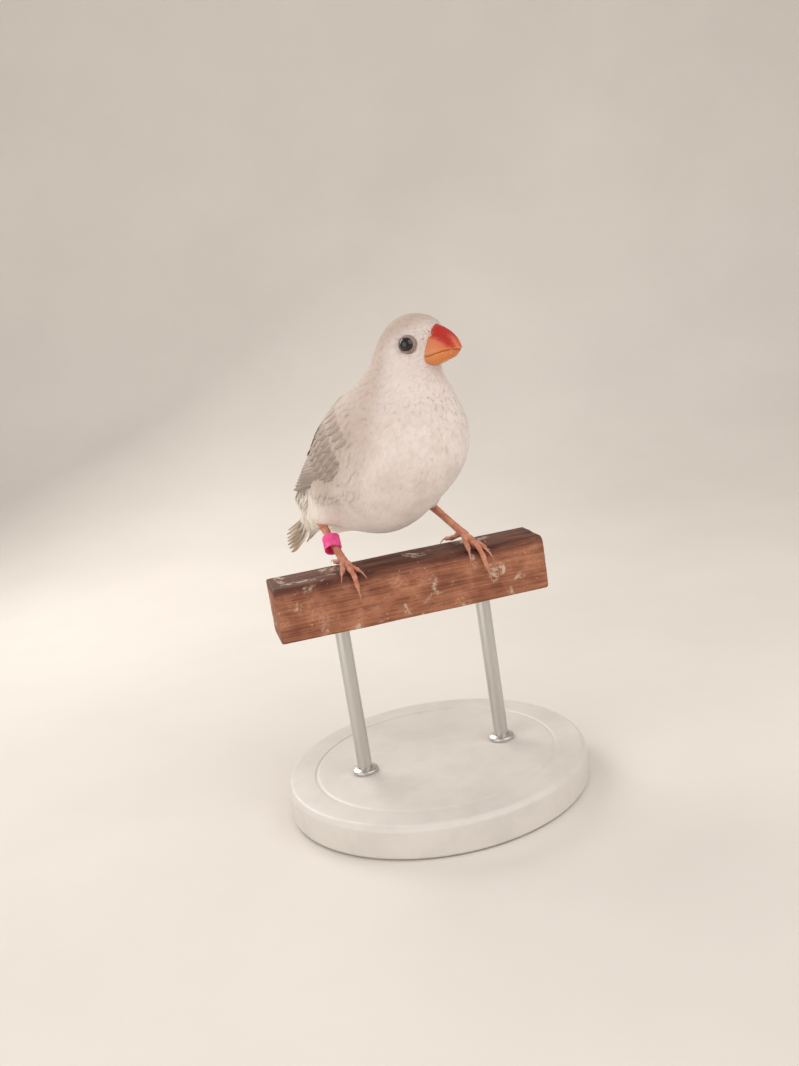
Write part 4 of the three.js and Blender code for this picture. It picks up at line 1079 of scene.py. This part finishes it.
def rump_reach(way, least):
    """How far the rump's plumage reaches from the tail's line at each stop, and at least that far."""
    far = np.full(len(sheath_stops), 1.0)
    for _ in range(24):
        places = TAIL_ROOT + sheath_stops[:, None] * tail_way + far[:, None] * way
        far = np.maximum(0, far + 0.06 - coat_distance(places))
    return np.maximum(far, least)


def barb_lines(finish, middle, slant, pitch):
    """Where a point lies along and off its feather's shaft, in millimetres, and lines for the barbs."""
    places = finish.node("UVMap", {"uv_map": "barbs"})
    down, across = (finish.node("SeparateXYZ", {}, {0: places}, output=k) for k in (0, 1))
    off = abs(across - middle)
    return down, off, ((down - off * slant) * pitch).sine()


tail_vanes = Vanes()
for side in (-1, 1):
    for i in range(6):
        sides = (side * (0.45 + 0.5 * i), side * mix(0.8, TAIL_SPREAD, i / 5))
        reach = tail_length + 1.6 - 0.3 * i - 0.11 * i * i + dice.uniform(-0.2, 0.2)
        level = (1.25 if side > 0 else 0.8) if i == 0 else 0.35 - 0.1 * i
        tilt = 0.0 if i == 0 else 0.26 * side

        def place(u, across, height):
            middle = mix(sides[0], sides[1], u) + side * 0.5 * u * (1 - u)
            rise = mix(-0.2, level, ease(u, 0, 0.45)) + tilt * across
            return tail_place(mix(2.0, reach, u), middle + across, rise + height)

        quill(tail_vanes, place, reach, TAIL_FEATHER, pointed=0.14, rows=34)

# the sheath: three rows of coverts round the tail, from the rump's round end to the flat fan
sheath_stops = np.linspace(0, 30, 16)
reach_aside = rump_reach(LEFT, least=1.6 + 0.23 * sheath_stops)
reach_over = rump_reach(tail_up, least=1.2)
reach_under = rump_reach(-tail_up, least=1.1)
for row in range(3):
    count = 15 - row
    for i in range(count):
        at = (i + 0.5 * (row % 2)) / count * 2 * math.pi
        reach = 26.0 - 4.0 * row - 2.5 * abs(math.sin(at)) + dice.uniform(-0.5, 0.5)

        def place(u, across, height):
            ahead = mix(5.0 - row, reach, u)
            wide, over, under = (np.interp(ahead, sheath_stops, far)
                                 for far in (reach_aside, reach_over, reach_under))
            turn = at + across / wide
            high = np.where(np.cos(turn) > 0, over, under)
            cover = mix(-0.8, 0.05 + 0.12 * row, ease(u, 0.2, 0.7)) + height
            sideways, upwards = (wide + cover) * np.sin(turn), (high + cover) * np.cos(turn)
            return tail_place(ahead, sideways, upwards, ease(ahead, 14, 24))

        quill(tail_vanes, place, reach, TAIL_FEATHER, pointed=0.45, rows=22)

fan = Finish("tail_feathers", {"Roughness": 0.62, "Sheen Weight": 0.2, "Specular IOR Level": 0.3})
tone, spot = markings(fan)
down, off, line = barb_lines(fan, middle=1.45, slant=1.3, pitch=17.0)
a = math.radians(BODY_HEADING)
beyond = fan.along(spot, (-math.cos(a), math.sin(a), 0)).ease(31.0, 39.0)
brown = fan.blend(seen(206, 186, 162), seen(158, 132, 105), down.ease(9.0, 27.0))
tone = fan.blend(tone, brown, beyond)
tone = fan.blend(tone, seen(150, 124, 100), off.ease(0.9, 1.4) * 0.4 * beyond)
tone = fan.blend(tone, seen(236, 224, 206), (1 - off.ease(0.06, 0.16)) * 0.6)
fan.set("Base Color", fan.shade(tone, 0.94 + 0.1 * fan.attribute("shade") + 0.03 * line))
fan.relief(line, 0.05, 0.7)
tail_vanes.piece("tail_feathers", fan, "cream_plumage", ["tail"])


# Wings: folded against the body, with nine primaries, eight secondaries, three tertials and four rows of
# coverts on each. Their tips stand off the rump, and their grey, partly a wash and partly painted shade,
# deepens from roots to tips.

# Each row of coverts has its count, its roots and tips along the axis, its first and last feather round
# it, its height and its feathers' width.
COVERT_ROWS = [
    (12, 0.69, 0.525, 41, 114, -0.55, 2.3),
    (11, 0.77, 0.60, 39, 112, -0.25, 2.4),
    (10, 0.83, 0.67, 38, 108, 0.0, 2.6),
    (9, 0.89, 0.75, 36, 104, 0.1, 2.7),
]


def on_body(along, around, side, level):
    """Points at places along and round the axis, at a level over the plumage."""
    shape = np.broadcast(along, around, level).shape
    along, around, level = (np.broadcast_to(x, shape) for x in (along, around, level))
    origin = mix(AXIS_TAIL, AXIS_NECK, along[..., None])
    a = np.radians(around)[..., None]
    way = AXIS_UP * np.cos(a) + LEFT * side * np.sin(a)
    r = np.full(shape, 1.0)
    for _ in range(26):
        r = r + (level - body_distance(origin + way * r[..., None]))
    return origin + way * r[..., None]


def wing_quill(vanes, side, root, tip, wide, bow, height, tilt, sunk, free, **look):
    """A feather of the wing between two places on the body: bowed round it, tilted over the next feather,
    and sunk at its root up to where it comes free. The inner edge of the wing lies close on the back."""
    def place(u, across, rise):
        along = mix(root[0], tip[0], u)
        around = mix(root[1], tip[1], u) + bow * 4 * u * (1 - u) + across * DEGREES_PER_MM
        level = height + wing_lift(along) * ease(around, 24, 44)
        return on_body(along, around, side, level + tilt * across - (1 - ease(u, 0, free)) * sunk + rise)

    quill(vanes, place, abs(root[0] - tip[0]) / AXIS_PER_MM, wide, **look)


def covert_row(vanes, side, count, root, tip, start, end, height, wide):
    """A row of short feathers, each a little askew."""
    for i in range(count):
        around = mix(start, end, (i + 0.5) / count)
        at = tip + dice.uniform(-0.008, 0.008)
        wing_quill(vanes, side, (root, around), (at, around - 5 + dice.uniform(-1, 1)), wide, bow=0,
                   height=height + dice.uniform(-0.04, 0.04), tilt=0.12, sunk=0.8, free=0.5,
                   pointed=0.5, rows=14, columns=7)


wing = Finish("wing_feathers", {"Roughness": 0.62, "Sheen Weight": 0.2, "Specular IOR Level": 0.3})
down, off, line = barb_lines(wing, middle=1.4, slant=1.3, pitch=17.0)
# the grey is partly the feathers' own wash and partly painted shade; it darkens towards the tips
tone = wing.blend(seen(176, 158, 146), seen(144, 126, 113), down.ease(3.0, 15.0))
tone = wing.blend(tone, seen(226, 214, 202), off.ease(1.0, 1.4) * 0.4)
tone = wing.blend(tone, seen(228, 216, 202), (1 - off.ease(0.05, 0.13)) * 0.4)
wing.set("Base Color", wing.shade(tone, 0.93 + 0.12 * wing.attribute("shade") + 0.03 * line))
wing.relief(line, 0.05, 0.7)

for side, name in ((1, "left"), (-1, "right")):
    vanes = Vanes()
    for i in range(9):
        t = i / 8
        wing_quill(vanes, side, (0.62, mix(110, 90, t)), (mix(0.235, 0.375, t**0.8), mix(51.5, 45, t)),
                   mix(2.4, 2.9, t), bow=1, height=-1.7 + 0.05 * i, tilt=0.22, sunk=0.8, free=0.35,
                   pointed=0.2, rows=34)
    for i in range(8):
        t = i / 7
        wing_quill(vanes, side, (0.64, mix(88, 55, t)), (mix(0.382, 0.425, t), mix(54, 33, t)),
                   wide=3.1, bow=3, height=-1.3 + 0.03 * i, tilt=0.24, sunk=0.8, free=0.35,
                   pointed=0.16, rows=30)
    for i in range(3):
        wing_quill(vanes, side, (0.66, 48 - 7 * i), (0.4 + 0.045 * i, 31 - 3 * i),
                   wide=3.9, bow=2, height=-0.45 + 0.35 * i, tilt=0.08, sunk=1.4, free=0.35,
                   pointed=0.3, rows=28)
    for row in COVERT_ROWS:
        covert_row(vanes, side, *row)
    vanes.piece("wing_feathers_" + name, wing, "grey_washed_plumage", ["wing_" + name])


# Coat: about ten thousand small feathers that grow from the skin, each a closed cupped vane with loose
# barbs along its edge. They are smallest round the bill and lie back from it, down the body and thighs.
BILL_BASE, CELL = np.array([9.0, 0.0, 0.2]), 1.2
FEATHER_ROWS, BARBS, SEEDS = 6, 14, 220000

# Their spacing, lengths and widths, each on the face, the head and the body.
FEATHER_GAPS, FEATHER_LENGTHS, FEATHER_WIDTHS = (0.32, 0.44, 0.62), (1.3, 3.2, 5.0), (0.6, 1.3, 2.1)


def face_share(points):
    """1 beside the bill, 0 at the back of the head."""
    q = to_head(points)
    return (1 - ease(np.linalg.norm(q - BILL_BASE, axis=-1), 3.0, 11.0)) * ease(q[..., 2], -11, -7)


def eye_reach(points):
    """How far points are from the nearer eye's middle, over the face."""
    q = to_head(points)
    q = np.stack([q[..., 0], np.abs(q[..., 1]), q[..., 2]], axis=-1)
    return np.linalg.norm((q - EYE_PLACE) * [1, 0.6, 1.08], axis=-1)


def head_share(points):
    """1 on the head, 0 on the body."""
    return ease(points[..., 2] + 0.3 * points[..., 0], 42.0, 54.0)


def by_place(values, head, face):
    """A value between the three for the face, the head and the body."""
    for_face, for_head, for_body = values
    return mix(mix(for_body, for_head, head), for_face, face)


def lie(points, normals):
    """The way in which feathers lie: back from the bill, down the body to the tail, down the thighs, and
    outwards over the upper edge of each wing."""
    bill = from_head(BILL_BASE)
    from_bill = unit(points - bill)
    share = 1 - ease(np.linalg.norm(points - bill, axis=-1), 9, 30)
    down_body = -AXIS_WAY + np.array([0, 0, -0.35])
    way = share[:, None] * from_bill + (1 - share[:, None]) * down_body
    for joints in LEG_JOINTS.values():
        heel, knee = thigh_ends(joints)
        near = (1 - ease(thigh_distance(points, joints), -0.5, 2.5)) * ease(9.0 - points[:, 2], -6, 4)
        way = mix(way, unit(heel - knee) * 1.2, near[:, None])
    around = body_place(points)[1]
    over_wing = ease(wing_inside(points), -3.5, 1.0) * (1 - ease(around, 50, 66)) * (1 - head_share(points))
    way = way + (0.5 * over_wing * np.sign(points[:, 1]))[:, None] * LEFT
    way = way - (way * normals).sum(axis=1, keepdims=True) * normals
    return unit(way)


def sown(points, faces, dice):
    """Seeded places over the skin, no two nearer than the gap there, with none under the wings, on the
    eyes, in the bill or past the rump."""
    tris = np.concatenate([faces[0], faces[1][:, :3], faces[1][:, [0, 2, 3]]])
    a, b, c = (points[tris[:, k]] for k in range(3))
    area = np.linalg.norm(np.cross(b - a, c - a), axis=1)
    picks = dice.choice(len(tris), SEEDS, p=area / area.sum())
    u, v = dice.random((2, len(picks), 1))
    over = u + v > 1
    u, v = np.where(over, 1 - u, u), np.where(over, 1 - v, v)
    spots = a[picks] + u * (b - a)[picks] + v * (c - a)[picks]
    q = to_head(spots)
    along, around = body_place(spots)

    # margin: how far inside the wing's outline feathers still grow
    margin = np.where(around > 65, 0.4 + 0.5 * ease(along, 0.6, 0.75), 2.0 + 1.2 * ease(along, 0.42, 0.55))
    margin = margin + 12 * ease(along, 0.8, 0.84) + 12 * (1 - ease(along, 0.42, 0.47))
    clear_of_bill = (q[:, 0] < 6.3 + 0.2 * q[:, 2]) | (q[:, 2] < -6)
    clear_of_legs_and_tail = (spots[:, 2] > 1.5) & (spots[:, 0] > -29.5)
    clear_of_wing_and_eye = (wing_inside(spots) < margin) & (eye_reach(spots) > 2.45)
    spots = spots[clear_of_bill & clear_of_legs_and_tail & clear_of_wing_and_eye]
    gaps = by_place(FEATHER_GAPS, head_share(spots), face_share(spots))
    keys = (spots / CELL).astype(int)
    steps = [(i, j, k) for i in (-1, 0, 1) for j in (-1, 0, 1) for k in (-1, 0, 1)]
    cells, kept = {}, []
    for place, ((x, y, z), spot, gap) in enumerate(zip(keys.tolist(), spots.tolist(), gaps.tolist())):
        near = (cells.get((x + i, y + j, z + k), ()) for i, j, k in steps)
        if all((spot[0] - p[0]) ** 2 + (spot[1] - p[1]) ** 2 + (spot[2] - p[2]) ** 2 > gap * gap
               for cell in near for p in cell):
            cells.setdefault((x, y, z), []).append(spot)
            kept.append(place)
    return spots[kept]


def vane_template():
    """One small feather: (along, across, high) for each point, the vane's faces and its barbs' faces."""
    s = np.linspace(0, 1, FEATHER_ROWS) ** 0.85
    half = mix(0.4, 1, ease(s, 0, 0.45)) * np.sqrt(1 - 0.96 * np.clip((s - 0.35) / 0.65, 0, 1) ** 2)
    cup, thick = 0.02, mix(0.05, 0.02, s)
    ring = [(s - 0.05, -half, 0 * s), (s, 0 * s, cup + thick),
            (s - 0.05, half, 0 * s), (s, 0 * s, cup - thick)]
    points = np.array(ring).transpose(2, 0, 1).reshape(-1, 3)
    i, j = np.meshgrid(np.arange(FEATHER_ROWS - 1), np.arange(4), indexing="ij")
    a, b = (4 * i + j).ravel(), (4 * i + (j + 1) % 4).ravel()
    end = 4 * (FEATHER_ROWS - 1)
    caps = [[0, 3, 2, 1], [end, end + 1, end + 2, end + 3]]
    quads = np.concatenate([np.stack([a, b, b + 4, a + 4], axis=1), caps])
    places, tris = [], []
    for k in range(BARBS):
        turn = (k + 0.5) / BARBS * 2 - 1
        at = 1.0 - 0.6 * abs(turn) ** 1.1
        wide = np.interp(at, s, half) * np.sign(turn) * 0.93
        spread = 0.5 * turn
        n = len(points) + len(places)
        places += [(at - 0.05, wide - 0.05, 0.01), (at - 0.05, wide + 0.05, 0.01), (at - 0.06, wide, 0.025),
                   (at + 0.2 * math.cos(spread), wide + 0.45 * math.sin(spread), 0.0)]
        tris += [(n, n + 1, n + 2), (n, n + 3, n + 1), (n + 1, n + 3, n + 2), (n + 2, n + 3, n)]
    return np.concatenate([points, places]), quads[:, ::-1], np.array(tris)[:, ::-1]


coat_dice = np.random.default_rng(23)
roots = sown(skin_points, skin_faces, coat_dice)
normals = unit(slope_of(coat_level, roots)[0])
ways = lie(roots, normals)
sides = np.cross(normals, ways)
turn = coat_dice.normal(0, 0.14, (len(roots), 1))
ways, sides = ways * np.cos(turn) + sides * np.sin(turn), sides * np.cos(turn) - ways * np.sin(turn)
face, head = face_share(roots), head_share(roots)
vent = ease(-roots[:, 0], 14, 26) * ease(22 - roots[:, 2], 0, 8)
lengths = by_place(FEATHER_LENGTHS, head, face) * (1 + 0.5 * vent)
lengths = lengths * coat_dice.uniform(0.85, 1.15, len(roots))
widths = by_place(FEATHER_WIDTHS, head, face) * coat_dice.uniform(0.85, 1.15, len(roots))
tips = roots + ways * lengths[:, None]
shorter = np.clip((eye_reach(roots) - 2.0) / lengths, 0.3, 1)
lengths = np.where(eye_reach(tips) < 2.5, lengths * shorter, lengths)
tip_level = mix(0.02, 0.0, face) + coat_dice.uniform(-0.02, 0.02, len(roots)) * mix(1, 0.5, face)
inside = wing_inside(roots)
along, around = body_place(roots)
over_edge = 0.25 * ease(inside, -4.0, 0.8) * ease(along, 0.4, 0.5)
upper_edge = ease(inside, 0, 1.8) * (1 - ease(around, 50, 66))
over_edge = over_edge + 0.5 * (1 - ease(along, 0.44, 0.58)) * upper_edge
tip_level = tip_level + over_edge + rump_fill(tips) + 0.2 * vent * coat_dice.uniform(0, 1, len(roots))

template, vane_quads, barb_tris = vane_template()
count = len(template)
s, t, h = template.T
points = roots[:, None] + ways[:, None] * (s * lengths[:, None])[..., None]
points = points + sides[:, None] * (t * widths[:, None] / 2)[..., None]
free = 4 * FEATHER_ROWS + 3 + 4 * np.arange(BARBS)
points[:, free] += coat_dice.normal(0, 0.07, (len(roots), BARBS, 3)) * widths[:, None, None]
start_level = skin_level(roots) - 0.05
rise = 1 - (1 - np.clip(s, 0, 1)) ** 3.4 + 0.03 * s
level = mix(start_level[:, None], tip_level[:, None], rise) + h * mix(1, 0.5, face)[:, None]
points = laid(coat_distance, points.reshape(-1, 3), level.ravel()).reshape(len(roots), count, 3)
end_normals = unit(slope_of(coat_level, roots + ways * lengths[:, None])[0])
shading = mix(normals[:, None], end_normals[:, None], s[:, None]) + sides[:, None] * (0.22 * t)[:, None]
shading = unit(shading - ways[:, None] * 0.05)
maps = coat_map(roots)
shades = coat_dice.uniform(0, 1, len(roots))

plume = Finish("small_feathers", {"Roughness": 0.75, "Sheen Weight": 0.35, "Sheen Roughness": 0.45,
                                  "Specular IOR Level": 0.2})
line = barb_lines(plume, middle=0.0, slant=1.1, pitch=30.0)[2]
tone = markings(plume)[0]
plume.set("Base Color", plume.shade(tone, 0.95 + 0.08 * plume.attribute("shade") + 0.02 * line))
plume.relief(line, 0.02, 0.4)

on_head, on_back, on_left = head > 0.5, around < 80, roots[:, 1] > 0
high_up, far_back = roots[:, 2] > 27, roots[:, 0] < -13
in_front = ~on_head & ~on_back
belly = in_front & ~high_up & ~far_back
regions = {
    "head_left": (on_head & on_left, ["head"]),
    "head_right": (on_head & ~on_left, ["head"]),
    "back": (~on_head & on_back & ~far_back, ["torso", "neck"]),
    "breast": (in_front & high_up, ["torso", "neck"]),
    "belly_left": (belly & on_left, ["torso", "thigh_left"]),
    "belly_right": (belly & ~on_left, ["torso", "thigh_right"]),
    "rump": (~on_head & on_back & far_back, ["torso"]),
    "vent": (in_front & ~high_up & far_back, ["torso", "thigh_right"]),
}
for name, (chosen, nodes) in regions.items():
    picks = np.flatnonzero(chosen)
    offsets = (np.arange(len(picks)) * count)[:, None, None]
    faces = [(barb_tris[None] + offsets).reshape(-1, 3), (vane_quads[None] + offsets).reshape(-1, 4)]
    patch = maps[picks][:, None] + MAP_PATCH * np.stack([np.clip(s, 0, 1), (t + 1) / 2], axis=1)
    barbs = np.stack([s * lengths[picks][:, None], t * widths[picks][:, None] / 2], axis=2)
    made = piece("coat_" + name, to_model(points[picks].reshape(-1, 3)), faces, plume, "white_plumage",
                 nodes, {"OFBake": patch.reshape(-1, 2), "barbs": barbs.reshape(-1, 2)},
                 turn_z(shading[picks].reshape(-1, 3), -BODY_HEADING))
    keep(made, "shade", np.repeat(shades[picks], count))


# Floor, light and camera: a plain pale sweep, one broad soft light ahead and to the right, a fill from the
# left and a rim light from behind. The camera stands where the photo was taken from.
FLOOR, SWEEP_HALF, MIDDLE = -0.3, 1200.0, (0, 0, 90)
FOCAL, AZIMUTH, ELEVATION, ROLL, DISTANCE = 1100.0, -12.0, 12.0, 8.9, 297.0
ANCHOR, WIDE, HIGH, SENSOR = (404.0, 557.0), 799.0, 1066.0, 36.0

backdrop = Finish("pale_sweep", {"Roughness": 0.85})
spot = backdrop.place()
mottle = backdrop.cloud(spot, 0.012, 4.0, 0.6)
backdrop.set("Base Color", backdrop.blend(seen(218, 213, 206), seen(232, 227, 220), mottle))
backdrop.relief(backdrop.cloud(spot, 1.5, 3.0), 0.05, 0.3)
profile = [(-900, 0), (260, 0), (360, 8), (440, 34), (500, 80), (540, 150), (560, 260), (566, 1100)]
depth, height = np.array(rounded(profile, radius=60.0, steps=8)).T[..., None]
shares = np.linspace(-SWEEP_HALF, SWEEP_HALF, 40)
sheet = np.stack([shares + 0 * depth, depth + 0 * shares, FLOOR + height + 0 * shares], axis=2)
sheet = turn_z(sheet, AZIMUTH)
quads = grid_quads(*sheet.shape[:2])
mesh = bpy.data.meshes.new("sweep")
mesh.from_pydata((sheet.reshape(-1, 3) * MM).tolist(), [], quads.tolist())
mesh.polygons.foreach_set("use_smooth", np.ones(len(quads), bool))
sweep = bpy.data.objects.new("sweep", mesh)
mesh.materials.append(backdrop.material)
bpy.context.scene.collection.objects.link(sweep)
sweep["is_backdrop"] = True


def lamp(name, place, size, power, colour):
    """A square soft light that looks at the bird."""
    light = bpy.data.lights.new(name, "AREA")
    light.size = size * MM
    light.energy = power
    light.color = colour
    made = bpy.data.objects.new(name, light)
    made.location = Vector(place) * MM
    made.rotation_euler = (Vector(MIDDLE) - Vector(place)).to_track_quat("-Z", "Y").to_euler()
    bpy.context.scene.collection.objects.link(made)
    made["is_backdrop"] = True


lamp("key", (230, -300, 340), size=460, power=1.15, colour=(1.0, 0.97, 0.95))
lamp("fill", (-380, -220, 160), size=460, power=1.0, colour=(1.0, 0.97, 0.95))
lamp("rim", (-150, 330, 300), size=260, power=0.95, colour=(1.0, 0.97, 0.94))

world = bpy.data.worlds.new("soft_room")
world.use_nodes = True
world.node_tree.nodes["Background"].inputs["Color"].default_value = (0.94, 0.88, 0.83, 1)
world.node_tree.nodes["Background"].inputs["Strength"].default_value = 0.6
bpy.context.scene.world = world

az, el, roll = (math.radians(v) for v in (AZIMUTH, ELEVATION, ROLL))
back = Vector((math.sin(az) * math.cos(el), -math.cos(az) * math.cos(el), math.sin(el)))
right = (-back).cross(Vector((0, 0, 1))).normalized()
above = right.cross(-back)
turned_right = math.cos(roll) * right - math.sin(roll) * above
right, above = turned_right, math.sin(roll) * right + math.cos(roll) * above
shift_x = (ANCHOR[0] - WIDE / 2) / FOCAL * DISTANCE
shift_y = -(ANCHOR[1] - HIGH / 2) / FOCAL * DISTANCE
place = Vector((0, 0, RAIL_TOP)) - shift_x * right - shift_y * above + DISTANCE * back
lens = bpy.data.cameras.new("camera")
lens.sensor_fit = "VERTICAL"
lens.sensor_height = SENSOR
lens.lens = SENSOR * FOCAL / HIGH
lens.clip_start = 0.01
lens.dof.use_dof = False
camera = bpy.data.objects.new("camera", lens)
camera.matrix_world = Matrix.Translation(place * MM) @ Matrix((right, above, back)).transposed().to_4x4()
bpy.context.scene.collection.objects.link(camera)
bpy.context.scene.camera = camera

bpy.context.scene.view_settings.view_transform = "Standard"

low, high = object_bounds()
